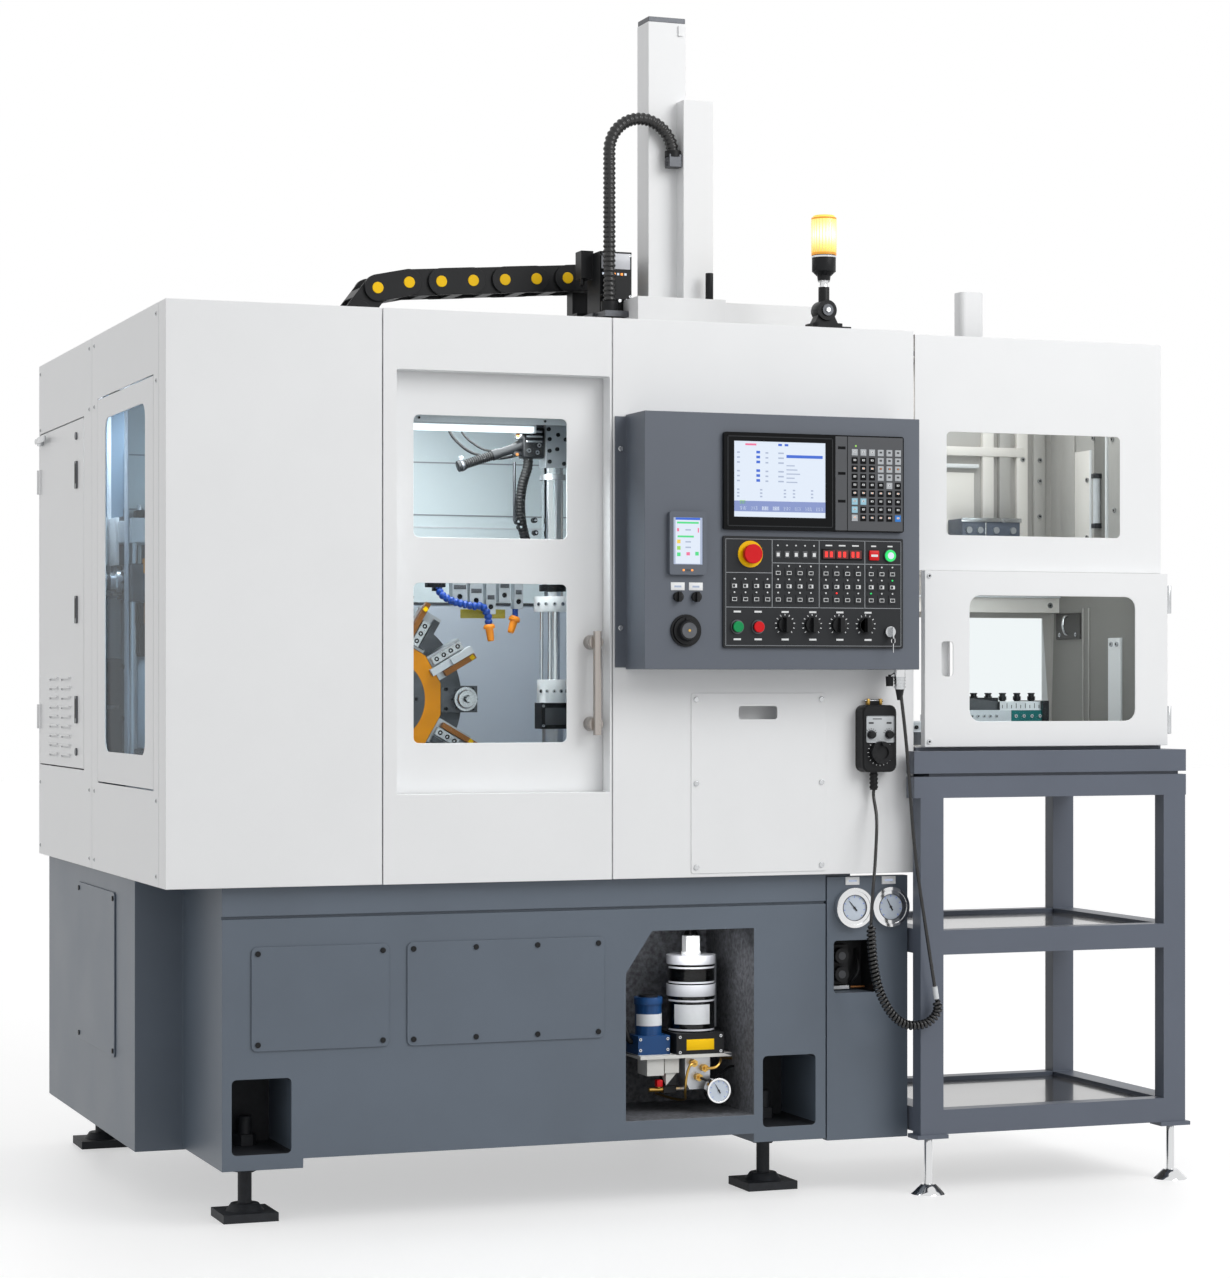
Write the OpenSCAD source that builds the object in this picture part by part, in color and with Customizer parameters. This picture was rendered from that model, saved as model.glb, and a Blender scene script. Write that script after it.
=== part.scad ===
// Turn-mill center with a gantry loading arm and a workpiece stocker at its right.
// Sizes are in millimetres. X runs to the right, Y to the rear and Z up from the floor.

/* [Enclosure] */
// Width of the white enclosure
enc_w = 1711; // [1690:1:1760]
// Depth of the white enclosure
enc_d = 1480; // [1470:1:1600]
// Height of its lower edge above the floor
enc_z = 720; // [710:1:728]
// Height of its top edge above the floor
enc_top = 1942; // [1936:1:1960]
// Depth of the roof below the top edge
roof_drop = 107; // [104:1:112]
// Thickness of the sheet metal
sheet = 3; // [2:0.5:4]
// Depth of the folded panel edges
fold = 24; // [18:1:32]
// Gap between two panels
seam = 3; // [2:0.5:4]
// Width of the middle front panel, which holds the door
centre_w = 519; // [510:1:525]
// Width of the right front panel
right_w = 726; // [721:1:727]
// Length of the front corner seen on the left side
corner_d = 68; // [50:1:80]
// Panel joint on the left side, from the front
joint_side = 790; // [760:1:830]

/* [Side panels] */
// Front edge of the inset side panel
inset_y = 118; // [100:1:140]
// Margin of the inset side panel from the panel joint
inset_in = 66; // [60:1:80]
// Lower edge of the inset side panel
inset_z = 920; // [900:1:940]
// Height of the inset side panel
inset_h = 876; // [850:1:890]
// Margin round the side window at its ends
side_win_end = 86; // [70:1:110]
// Margin below the side window
side_win_low = 73; // [60:1:90]
// Margin above the side window
side_win_high = 52; // [40:1:70]
// Corner radius of the side window
side_win_r = 32; // [15:1:45]
// Front edge of the electric cabinet door from the panel joint
cab_in = 97; // [80:1:110]
// Rear edge of the electric cabinet door from the rear of the enclosure
cab_end = 12; // [11:1:40]
// Lower edge of the electric cabinet door
cab_z = 944; // [930:1:960]
// Height of the electric cabinet door
cab_h = 826; // [800:1:835]
// Depth of the electric cabinet
cab_depth = 300; // [200:1:350]
// Length of one louvre
louvre_l = 128; // [90:1:136]
// Louvre spacing in height
louvre_step = 23; // [20:1:26]
// Louvres in each column
louvre_n = 9; // [5:1:9]
// Height of a flush latch
latch_h = 65; // [50:1:80]
// Length of a flush latch
latch_l = 24; // [18:1:30]

/* [Front door] */
// Left edge of the door opening from its panel joint
open_in = 31; // [26:1:36]
// Width of the door opening
open_w = 482; // [460:1:482]
// Lower edge of the door opening
open_z = 910; // [890:1:930]
// Height of the door opening
open_h = 904; // [880:1:906]
// Depth of the collar round the opening
collar_d = 42; // [30:1:44]
// Set-back of the door behind the front
door_set = 46; // [45:0.5:55]
// Thickness of the door
door_t = 25; // [15:1:30]
// Overlap of the door behind its opening
door_lap = 8; // [5:1:9]
// Width of the door windows
pane_w = 348; // [300:1:360]
// Offset of the windows from the opening edge
pane_x = 51; // [40:1:60]
// Height of the lower window
pane_low_h = 344; // [320:1:360]
// Lower edge of the lower window above the opening
pane_low_z = 108; // [95:1:120]
// Height of the upper window
pane_up_h = 262; // [240:1:270]
// Lower edge of the upper window above the opening
pane_up_z = 550; // [535:1:560]
// Corner radius of the door windows
pane_r = 12; // [6:1:20]
// Thickness of the window glass
glass_t = 6; // [4:0.5:8]
// Overlap of the glass behind its sheet
glass_lap = 9; // [6:1:12]
// Length of the door handle
handle_l = 226; // [180:1:260]
// Width of the handle bar
handle_w = 16; // [12:0.5:18]
// Depth of the handle bar
handle_d = 14; // [10:0.5:16]
// Diameter of the handle's round bosses
boss_d = 32; // [26:1:36]
// Stand-off of the handle bar
handle_out = 46; // [38:1:52]

/* [Control box] */
// Left edge of the control box from the second panel joint
box_x = 31; // [28:1:40]
// Width of the control box
box_w = 653; // [640:1:665]
// Lower edge of the control box
box_z = 1177; // [1150:1:1190]
// Height of the control box
box_h = 555; // [545:1:580]
// Depth of the control box
box_d = 115; // [90:1:130]
// Width of the mounting flange
flange_w = 26; // [20:1:27]
// Width of the display unit and the operator panel
unit_w = 430; // [425:1:440]
// Height of the display unit
unit_h = 212; // [205:1:220]
// Thickness of the display unit
unit_t = 10; // [6:1:14]
// Height of the operator panel
oper_h = 243; // [238:1:248]
// Thickness of the operator panel
oper_t = 6; // [4:1:10]
// Width of the small touch screen
touch_w = 86; // [75:1:95]
// Height of the small touch screen
touch_h = 136; // [120:1:150]
// Diameter of the emergency stop
stop_d = 42; // [36:1:48]
// Travel of the emergency stop and push buttons
press = 4; // [2:0.5:5]
// Diameter of the push buttons
push_d = 24; // [20:1:28]
// Diameter of the rotary switches
rotary_d = 34; // [28:1:40]
// Height of the rotary switches
rotary_h = 22; // [14:1:28]
// Diameter of the large power switch
power_d = 60; // [50:1:66]
// Diameter of the selector switches
select_d = 22; // [16:1:26]
// Size of a keypad key
key_w = 14; // [10:0.5:15]
// Pitch of the keypad keys to the side
key_step = 21; // [18:0.5:21]
// Pitch of the keypad keys in height
key_rise = 18; // [16:0.5:18]
// Size of a machine key on the operator panel
pad_key = 19; // [15:0.5:21]
// Pitch of the machine keys to the side
pad_step = 26; // [22:0.5:26]
// Pitch of the machine keys in height
pad_rise = 29; // [24:0.5:29]
// Height of the keys above their panel
key_h = 1.5; // [1:0.5:3]

/* [Front covers] */
// Left edge of the access cover from its panel joint
access_in = 184; // [165:1:195]
// Width of the access cover
access_w = 325; // [310:1:340]
// Height of the access cover
access_h = 397; // [380:1:400]
// Width of the pull slot
slot_w = 92; // [70:1:110]
// Height of the pull slot
slot_h = 29; // [20:1:34]
// Room for fingers behind the pull slot
hand_in = 18; // [8:1:18]
// Thickness of the bolted covers
cover_t = 4; // [2:0.5:6]
// Diameter of a screw head
screw_d = 12; // [8:1:16]
// Height of a screw head
screw_h = 3; // [2:0.5:5]

/* [Base] */
// Left edge of the front bed
bed_x = 126; // [110:1:140]
// Distance of the front bed from the right side of the enclosure
bed_end = 204; // [203:1:215]
// Set-back of the bed behind the front
bed_y = 30; // [15:1:40]
// Underside of the bed between its feet
bed_z = 145; // [140:1:155]
// Height by which the foot blocks reach lower
bed_foot = 20; // [10:1:20]
// Front face of the rear base
rear_y = 406; // [380:1:430]
// Left face of the rear base
rear_x = 20; // [5:1:40]
// Underside of the rear base
rear_z = 120; // [110:1:140]
// Width of a foot block
block_w = 175; // [165:1:185]
// Width of a foot pocket
pocket_w = 128; // [120:1:135]
// Height of a foot pocket
pocket_h = 158; // [140:1:170]
// Depth of a foot pocket
pocket_d = 190; // [180:1:220]
// Distance of the lubrication bay from the right end of the bed
bay_in = 175; // [165:1:180]
// Width of the lubrication bay
bay_w = 304; // [296:1:306]
// Floor of the lubrication bay
bay_z = 187; // [180:1:200]
// Height of the lubrication bay
bay_h = 415; // [405:1:430]
// Depth of the lubrication bay
bay_d = 280; // [260:1:330]
// Height of the groove under the top band
groove_h = 6; // [3:1:10]
// Size of a levelling pad
pad_w = 120; // [100:1:130]
// Height of a levelling pad
pad_h = 34; // [24:1:50]
// Diameter of a levelling screw
stud_d = 30; // [20:1:36]
// Diameter of a pressure gauge
gauge_d = 90; // [80:1:94]
// Diameter of the lubrication reservoir
tank_d = 106; // [96:1:108]
// Height of the lubrication reservoir
tank_h = 151; // [140:1:155]
// Diameter of the lubrication motor
motor_d = 60; // [50:1:66]
// Height of the shelf that carries the lubrication unit
shelf_z = 124; // [120:1:128]
// Diameter of the small gauge
dial_d = 56; // [50:1:60]
// Diameter of a regulator knob
knob_d = 34; // [28:1:36]

/* [Loader] */
// Width of the loader cabinet
load_w = 638; // [630:1:660]
// Depth of the loader cabinet
load_d = 530; // [500:1:534]
// Floor of the loader cabinet
load_z = 1001; // [996:1:1005]
// Joint between the lower and the upper cabinet
load_mid = 1403; // [1390:1:1420]
// Top of the loader cabinet
load_top = 1936; // [1925:1:1940]
// Thickness of the loader door
load_door_t = 20; // [14:1:22]
// Left window edge of the loader door from its left edge
load_pane_x = 113; // [100:1:125]
// Window width of the loader door
load_pane_w = 427; // [400:1:440]
// Window height of the loader door
load_pane_h = 286; // [270:1:300]
// Window height of the upper cabinet
up_pane_h = 234; // [210:1:250]
// Window width of the upper cabinet
up_pane_w = 446; // [420:1:460]
// Width of the stand
stand_w = 697; // [690:1:710]
// Depth of the stand
stand_d = 570; // [540:1:600]
// Width of the stand tubes
tube_w = 57; // [50:1:62]
// Depth of the stand tubes
tube_d = 40; // [35:1:50]
// Set-forward of the stand in front of the enclosure
stand_out = 60; // [52:1:70]
// Top of the middle rail
rail_mid = 592; // [560:1:620]
// Top of the low rail
rail_low = 189; // [180:1:200]
// Diameter of a stand foot
foot_d = 79; // [70:1:90]
// Lower edge of the cabinet's rear wall
load_open = 1308; // [1290:1:1330]
// Width of the flange beside the rear opening
load_flange = 28; // [20:1:40]
// Width of the pull in the loader door
pull_w = 29; // [24:1:32]
// Height of the pull in the loader door
pull_h = 79; // [70:1:90]

/* [Gantry arm] */
// Left face of the arm column from the right side of the enclosure
arm_in = 507; // [500:1:512]
// Front face of the arm column
arm_y = 350; // [346:1:354]
// Width of the arm column
arm_w = 93; // [88:1:96]
// Depth of the arm column
arm_d = 72; // [66:1:76]
// Lower end of the arm column
arm_low = 1640; // [1625:1:1660]
// Top of the arm column
arm_top = 2674; // [2640:1:2720]
// Width of the arm duct
duct_w = 74; // [70:1:76]
// Depth of the arm duct
duct_d = 43; // [36:1:46]
// Top of the arm duct
duct_top = 2490; // [2460:1:2520]
// Width of the carriage cover
cover_w = 216; // [212:1:224]
// Top of the carriage cover
cover_top = 2026; // [2022:1:2040]
// Diameter of the arm hose
hose_d = 29; // [24:1:32]
// Pitch of the cable chain
link_pitch = 78; // [70:1:82]
// Height of a chain link
link_h = 62; // [54:1:64]
// Width of the cable chain
link_w = 100; // [90:1:104]
// Links in the cable chain
link_n = 19; // [16:1:19]
// Bend radius of the cable chain
bend_r = 100; // [96:1:102]
// Length of the upper chain run
run_l = 500; // [480:1:505]
// Slope of the upper chain run in degrees
run_slope = 4.1; // [2:0.1:5]
// Width of the gripper body
grip_w = 92; // [86:1:96]
// Height of the gripper body
grip_h = 90; // [84:1:94]
// Width of a gripper jaw
jaw_w = 22; // [18:1:24]
// Depth of a gripper jaw
jaw_d = 60; // [50:1:64]
// Length of a gripper jaw
jaw_l = 62; // [54:1:64]

/* [Turret] */
// Turret axis from the left joint of the middle panel
turret_in = 102; // [94:1:114]
// Height of the turret axis
axis_z = 1111; // [1105:1:1125]
// Front face of the turret disc
turret_y = 352; // [350:1:360]
// Radius of the turret head across its corners
turret_r = 141; // [139:1:146]
// Outer radius of the coloured ring across its corners
ring_r = 138; // [130:1:138]
// Radius of the turret hub
hub_r = 96; // [90:1:105]
// Radius of the round disc behind the tool holders
back_r = 196; // [180:1:200]
// Thickness of the round disc
back_t = 26; // [20:1:30]
// Thickness of the coloured ring
ring_t = 8; // [5:1:10]
// Length of a tool block
block_l = 86; // [70:1:90]
// Width of a tool block
block_s = 60; // [50:1:62]
// Radius of a collet nut
nut_r = 27; // [22:1:28]
// Guide post axis from the right joint of the middle panel
post_in = 61; // [58:1:66]
// Guide post axis from the front
post_y0 = 220; // [210:1:225]
// Tool stations
stations = 12; // [8:2:12]
// Thickness of the turret disc
disc_t = 60; // [50:1:60]
// Radius of the chuck
chuck_r = 82; // [75:1:84]
// Radius of the spindle nose
spindle_r = 58; // [50:1:62]
// Front face of the chuck
chuck_y = 490; // [485:1:500]
// Length of the chuck
chuck_l = 80; // [74:1:86]
// Radius of the chuck's bore
bore_r = 26; // [20:1:28]
// Depth of the turret saddle
saddle_d = 210; // [200:1:214]

/* [Signal light and pendant] */
// Signal light axis from the right side of the enclosure
lamp_in = 195; // [180:1:220]
// Diameter of the signal light
lamp_d = 54; // [46:1:60]
// Height of the glowing lens
lens_h = 84; // [70:1:100]
// Diameter of the signal light's tilting joint
tilt_d = 46; // [40:1:50]
// Left edge of the hand pendant from the right side of the enclosure
pend_in = 145; // [136:1:156]
// Width of the hand pendant
pend_w = 84; // [76:1:92]
// Height of the hand pendant
pend_h = 150; // [140:1:165]
// Lower edge of the hand pendant
pend_z = 948; // [940:1:960]
// Depth of the hand pendant
pend_d = 40; // [34:1:46]
// Corner radius of the hand pendant
pend_r = 16; // [8:1:20]
// Diameter of the handwheel
wheel_d = 50; // [44:1:54]
// Diameter of the pendant cord
cord_d = 9; // [6:1:10]
// Outer diameter of the curly stretch of the cord
coil_d = 22; // [18:1:24]

/* [Hidden] */
$fn = 48;

// Small play between two moving faces
play = 0.5;
// Gap of a seated piece
seat = 0.3;
// Reach of a cut past the face it opens
over = 1;
roof_z = enc_top - roof_drop;
joint_right = enc_w - right_w;
joint_left = joint_right - centre_w;
inset_l = joint_side - inset_in - inset_y;
cab_y = joint_side + cab_in;
cab_l = enc_d - cab_end - cab_y;
open_x = joint_left + open_in;
access_x = joint_right + access_in;
bed_w = enc_w - bed_end - bed_x;
bay_x = bed_x + bed_w - bay_in - bay_w;
gauge_w = bed_end - seam - over;
arm_x = enc_w - arm_in;
turret_x = joint_left + turret_in;
tool_reach = 250;
chuck_x = arm_x + arm_w / 2;
lamp_x = enc_w - lamp_in;
pend_x = enc_w - pend_in;
inner = fold + seat;
enc_h = enc_top - enc_z;
box_left = joint_right + box_x;
box_y = -box_d;
unit_y = box_y - unit_t;
oper_y = box_y - oper_t;
unit_x = box_left + 180;
unit_z = box_z + 302;
oper_z = box_z + 46;
knob_z = oper_z + 51;
front_reach = box_d + oper_t + rotary_h;
load_x = enc_w + sheet;
load_right = enc_w + load_w;
load_door_x = load_x + 14;
load_door_w = load_w - 12;
stand_x = load_right + 31 - stand_w;
stand_top = load_z - 7;
rail_h = 55;
shadow_in = 12;
beam_low = 1946;
beam_h = 42;
beam_y = arm_y + arm_d + 33;
beam_d = 72;
guide_y = arm_y + arm_d + play;
chain_y = beam_y + beam_d + 33;
chain_c = [arm_x - 536, 1972];
mid_x = (stand_x + stand_w) / 2;
mid_y = (enc_d - front_reach) / 2;
pane_left = open_x + pane_x;
door_x = open_x - door_lap;
door_w = open_w + 2 * door_lap;
door_z = open_z - door_lap;
door_h = open_h + 2 * door_lap;
bed_top = enc_z;
base_right = enc_w - 20;
pockets = [bed_x + 21, bed_x + bed_w - 25 - pocket_w];
pocket_z = bed_z + 13;
foot_y = bed_y + 150;
rear_feet = [rear_x + 110, enc_w - 130];
feet = [[pockets[0] + pocket_w / 2, foot_y], [pockets[1] + pocket_w / 2, foot_y],
    [rear_feet[0], enc_d - 140], [rear_feet[1], enc_d - 140]];
stand_y = -stand_out;
post_x = [stand_x + 16, stand_x + stand_w - 2 - tube_w];
side_x = [max(post_x[0], enc_w + seam), post_x[1]];
post_y = [stand_y, stand_y + stand_d - tube_d];
liner_y = 90;
liner_rear = 700;
liner_left = min(60, turret_x - tool_reach);
liner_right = enc_w - 211;
liner_floor = 800;
liner_top = 1790;
slot_y = arm_y - duct_d - 12;
slot_d = duct_d + arm_d + 26;
slot_x = arm_x - 24;
pass_z = 1440;
cord_y = -86;
cord_x = box_left + box_w;
rail_x = [turret_x - 118, turret_x + 382];
rail_y = 380;
rail_w = 60;
rail_rise = 70;
buttons = [[63, 204, stop_d], [32, 46, push_d], [81, 46, push_d]];
rotary_x = [for (i = [0:3]) unit_x + 145 + 64.5 * i];

// Places children on a front face, their height pointing to the viewer
module on_front(x, y, z) {
    translate([x, y, z]) rotate([90, 0, 0]) children();
}

// Places children on a left face, their width running to the front
module on_left(x, y, z) {
    translate([x, y, z]) rotate([90, 0, -90]) children();
}

// Places children on a right face, their width running to the rear
module on_right(x, y, z) {
    translate([x, y, z]) rotate([90, 0, 90]) children();
}

// Places children on a rear face, their width running to the left
module on_rear(x, y, z) {
    translate([x, y, z]) rotate([90, 0, 180]) children();
}

function corner(x, y, r, from) =
    [for (i = [0:4]) [x + r * cos(from + i * 22.5), y + r * sin(from + i * 22.5)]];
function rounded(w, h, r) = concat(corner(w - r, h - r, r, 0), corner(r, h - r, r, 90),
    corner(r, r, r, 180), corner(w - r, r, r, 270));

// Plate with rounded corners
module slab(w, h, r, t) {
    linear_extrude(t) polygon(rounded(w, h, r));
}

// Sheet panel with four folded edges, its face at height 0
module pan(w, h, depth = fold) {
    difference() {
        translate([0, 0, -depth]) cube([w, h, depth]);
        translate([sheet, sheet, -depth - over]) cube([w - 2 * sheet, h - 2 * sheet, depth - sheet + over]);
    }
}

// Opening through a panel
module cutout(x, y, w, h, r) {
    translate([x, y, -60]) slab(w, h, r, 60 + over);
}

// Round bar between two points
module rod(p, q, r) {
    v = q - p;
    translate(p)
        rotate([0, acos(v[2] / norm(v)), atan2(v[1], v[0])])
            cylinder(r = r, h = norm(v));
}

// Round bar through a list of points, with thicker ball joints between
module run(pts, r) {
    for (i = [0:len(pts) - 2]) rod(pts[i], pts[i + 1], r);
    for (i = [1:len(pts) - 2]) translate(pts[i]) sphere(r = 1.1 * r);
}

// Closed skin swept along points, for the cord
module swept(pts, r, sides = 8) {
    n = len(pts);
    dirs = [for (i = [0:n - 1]) let (v = pts[min(i + 1, n - 1)] - pts[max(i - 1, 0)]) v / norm(v)];
    ring = [for (i = [0:n - 1]) for (k = [0:sides - 1])
        let (a = 360 * k / sides, s = cross([0, 1, 0], dirs[i]), u = s / norm(s), w = cross(dirs[i], u))
            pts[i] + r * (cos(a) * u + sin(a) * w)];
    skin = [for (i = [0:n - 2]) for (k = [0:sides - 1]) let (m = (k + 1) % sides)
        [i * sides + k, (i + 1) * sides + k, (i + 1) * sides + m, i * sides + m]];
    ends = [[for (k = [0:sides - 1]) k], [for (k = [sides - 1:-1:0]) (n - 1) * sides + k]];
    polyhedron(ring, concat(skin, ends), convexity = 8);
}

// Screw head seen from the front
module head() {
    cylinder(d = screw_d, h = screw_h);
}

module bed() {
    color("dimgray") difference() {
        union() {
            translate([bed_x, bed_y, bed_z]) cube([bed_w, rear_y - bed_y, bed_top - bed_z]);
            for (x = [bed_x, bed_x + bed_w - block_w])
                translate([x, bed_y, bed_z - bed_foot]) cube([block_w, rear_y - bed_y, bed_foot + over]);
            translate([rear_x, rear_y - over, rear_z])
                cube([base_right - rear_x, enc_d - 30 - rear_y + over, enc_z - rear_z]);
        }
        for (x = pockets)
            on_front(x, bed_y + pocket_d, pocket_z) slab(pocket_w, pocket_h, 10, pocket_d + over);
        for (i = [0, 1])
            translate([feet[i][0], feet[i][1], 0]) cylinder(d = stud_d + 2 * play, h = pocket_z + over);
        on_front(bay_x, bed_y + bay_d, bay_z)
            linear_extrude(bay_d + over)
                polygon([[0, 0], [bay_w, 0], [bay_w, bay_h], [62, bay_h], [0, bay_h - 92]]);
        translate([bed_x - over, bed_y - over, bed_top - 68])
            cube([bed_w + 2 * over, 9, groove_h]);
    }
}

cover_1 = [bed_x + 62, bed_z + 229, 300, 219];
cover_2 = [bed_x + 402, bed_z + 228, bay_x - 52 - bed_x - 402, 221];
cover_3 = [rear_y + 637, rear_z + 183, 430, 372];

module base_covers() {
    color("dimgray") {
        for (c = [cover_1, cover_2])
            on_front(c[0], bed_y, c[1]) slab(c[2], c[3], 12, cover_t);
        on_left(rear_x, cover_3[0], cover_3[1]) slab(cover_3[2], cover_3[3], 12, cover_t);
    }
}

module hardware() {
    edge = 14;
    hinge_l = 65;
    color("silver") {
        for (x = [edge, cover_1[2] - edge]) for (z = [edge, cover_1[3] - edge])
            on_front(cover_1[0] + x, bed_y - cover_t, cover_1[1] + z) head();
        for (i = [0:3]) for (z = [edge, cover_2[3] - edge])
            on_front(cover_2[0] + edge + i * (cover_2[2] - 2 * edge) / 3, bed_y - cover_t, cover_2[1] + z)
                head();
        for (y = [edge, cover_3[2] - edge]) for (z = [edge, cover_3[3] - edge])
            on_left(rear_x - cover_t, cover_3[0] - y, cover_3[1] + z) head();
        for (x = [12, access_w - 12]) for (z = [edge, access_h / 2, access_h - edge])
            on_front(access_x + x, -cover_t / 2, enc_z + 8 + z) head();
        for (z = [90, box_h - 75])
            on_front(box_left - flange_w / 2, -sheet, box_z + z) head();
        for (z = [load_z + 28, load_mid - 94]) {
            translate([load_right + 13, -load_door_t / 2, z]) cylinder(r = 7.6, h = hinge_l);
            translate([load_right + 6.5, -load_door_t / 2, z]) cube([13, load_door_t / 2 + 8, hinge_l]);
            translate([load_right, 3, z]) cube([19.5, 5, hinge_l]);
            translate([load_right, 3, z]) cube([3.5, 45, hinge_l]);
        }
    }
}

module leveling_feet() {
    color("black") for (i = [0:3]) translate([feet[i][0], feet[i][1], 0]) {
        translate([-pad_w / 2, -pad_w / 2, 0]) cube([pad_w, pad_w, pad_h * 0.55]);
        cylinder(r1 = pad_w / 2.2, r2 = pad_w / 4, h = pad_h);
        cylinder(d = stud_d, h = i < 2 ? pocket_z + 62 : rear_z);
        translate([0, 0, (i < 2 ? bed_z - bed_foot : rear_z) - 24])
            cylinder(d = stud_d * 1.7, h = 24, $fn = 6);
        if (i < 2) translate([0, 0, pocket_z]) cylinder(d = stud_d * 1.7, h = 24, $fn = 6);
    }
    color("silver") for (x = post_x) translate([x + tube_w / 2, post_y[0] + tube_d / 2, 0]) {
        cylinder(d1 = foot_d, d2 = foot_d * 0.42, h = 22);
        cylinder(d = 19, h = rail_low - rail_h - 9 - seat);
    }
}

gauge_x = bed_x + bed_w + seam;
recess = [gauge_x + 17, 450, 104, 118, 80];

module gauge_panel() {
    color("gray") difference() {
        union() {
            on_front(gauge_x, bed_y, rear_z) pan(gauge_w, enc_z - 8 - rear_z);
            translate([recess[0] - sheet, bed_y, recess[1] - sheet])
                cube([recess[2] + 2 * sheet, recess[4] + sheet, recess[3] + 2 * sheet]);
        }
        on_front(recess[0], bed_y + recess[4], recess[1]) slab(recess[2], recess[3], 8, recess[4] + over);
    }
    color("gray") for (x = [gauge_x, gauge_x + gauge_w - 12])
        translate([x, bed_y + fold, rear_z + 60]) cube([12, rear_y - over - seat - bed_y - fold, 40]);
}

module gauges() {
    color("silver") for (x = [62, 152]) on_front(gauge_x + x, bed_y, enc_z - 78) difference() {
        cylinder(d = gauge_d, h = 18);
        translate([0, 0, 12]) cylinder(d = gauge_d - 14, h = 6 + over);
    }
    color("black") on_front(recess[0] + 38, bed_y + recess[4], recess[1]) {
        for (z = [38, 80]) translate([0, z, 0]) cylinder(d = knob_d, h = 42);
        translate([-22, 14, 0]) cube([44, 90, 24]);
    }
}

lube = [bay_x + 203, bed_y + 125];
pump_x = bay_x + 100;
pump_h = 47;
tank_z = bay_z + shelf_z + 8 + pump_h;
band_t = 2;

module lube_unit() {
    shelf = bay_z + shelf_z;
    front = lube[1] - 57;
    tube_z = bay_z + 52;
    color("gray") {
        translate([pump_x - 40, front, shelf]) cube([220, bed_y + bay_d - seat - front, 8]);
        translate([lube[0] - 57, front, shelf + 7]) cube([114, 114, pump_h + 1]);
        translate([pump_x - 38, lube[1] - 38, shelf + 7]) cube([76, 76, 43]);
        translate([pump_x, lube[1], shelf + 49]) cylinder(d = motor_d, h = 70);
        translate([pump_x, lube[1], shelf + 118]) cylinder(d = motor_d + 4, h = 16);
        translate([pump_x - 20, lube[1] - 46, shelf - 38]) cube([40, 60, 38 + over]);
        translate([pump_x + 24, lube[1] - 42, shelf - 34]) cube([34, 50, 34 + over]);
        translate([pump_x + 28, lube[1] - 38, shelf - 62]) cube([26, 40, 30]);
        on_front(lube[0] - 32, lube[1], shelf - 72) linear_extrude(46)
            polygon([[10, 0], [48, 0], [60, 14], [60, 73], [0, 73], [0, 22]]);
        for (p = [[-16, -12], [10, -24], [-4, -44]])
            on_front(lube[0] + p[0], lube[1] - 45, shelf + p[1]) cylinder(r = 8, h = 10);
        rod([pump_x - 6, lube[1] - 20, tube_z], [bay_x + 236, lube[1] - 20, tube_z], 5);
        translate([pump_x + 26, lube[1] - 30, tube_z - 8]) cube([30, 20, 16]);
        translate([bay_x + 228, bed_y + 60, tube_z - 8]) cube([16, lube[1] - bed_y - 70, 16]);
        on_front(bay_x + 236, bed_y + 61, tube_z) difference() {
            cylinder(d = dial_d, h = 24);
            translate([0, 0, 20]) cylinder(d = dial_d - 8, h = 4 + over);
        }
        for (z = [80, tank_h]) translate([lube[0], lube[1], tank_z + z]) difference() {
            cylinder(d = tank_d + 2 * seat + 2 * band_t, h = z > 80 ? 20 : 26);
            if (z == 80) translate([0, 0, -over]) cylinder(d = tank_d + 2 * seat, h = 26 + 2 * over);
        }
        translate([lube[0] + 54, lube[1] - 8, tank_z + 8 - over]) cube([5, 16, tank_h + 12]);
        translate([lube[0], lube[1], tank_z + tank_h + 19]) cylinder(d = 44, h = 8);
        translate([lube[0] - 16, lube[1] - 14, tank_z + tank_h + 26]) cube([32, 28, 36]);
    }
}

module lube_reservoir() {
    wall = 4;
    color("lightgray") translate([lube[0], lube[1], tank_z]) difference() {
        cylinder(d = tank_d, h = tank_h);
        translate([0, 0, wall]) cylinder(d = tank_d - 2 * wall, h = tank_h);
    }
}

module front_left_panel() {
    w = joint_left - seam / 2;
    color("white") {
        on_front(0, 0, enc_z) pan(w, enc_h);
        translate([0, 0, enc_z]) cube([sheet, corner_d - seam, enc_h]);
    }
}

module front_centre_frame() {
    x = joint_left + seam / 2;
    w = joint_right - seam / 2 - x;
    color("white") difference() {
        union() {
            on_front(x, 0, enc_z) pan(w, enc_h);
            on_front(open_x - sheet, collar_d, open_z - sheet)
                cube([open_w + 2 * sheet, open_h + 2 * sheet, collar_d]);
            translate([x + sheet, over, door_z - 32]) cube([w - 2 * sheet, door_set + 20, 7]);
            translate([60, door_set + 4, door_z - 26]) cube([joint_right - 64, 16, 26 - seat]);
            translate([60, door_set + 4, door_z + door_h + seat])
                cube([joint_right - 64, 16, roof_z - sheet - seat - door_z - door_h - seat]);
        }
        on_front(open_x, 0, open_z) cutout(0, 0, open_w, open_h, 4);
    }
}

slot_at = [access_x + (access_w - slot_w) / 2 - 3, enc_z + access_h - slot_h - 21];

module front_right_panel() {
    x = joint_right + seam / 2;
    color("white") on_front(x, 0, enc_z) difference() {
        pan(enc_w - x, enc_h);
        translate([slot_at[0] - x - hand_in, slot_at[1] - enc_z - hand_in, -fold])
            cube([slot_w + 2 * hand_in, slot_h + 2 * hand_in, fold + over]);
    }
}

module access_cover() {
    color("white") on_front(access_x, 0, enc_z + 8) difference() {
        slab(access_w, access_h, 6, cover_t / 2);
        translate([slot_at[0] - access_x, slot_at[1] - enc_z - 8, -over])
            slab(slot_w, slot_h, 6, cover_t + 2 * over);
    }
}

inset_rear = inset_y + inset_l;

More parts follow.
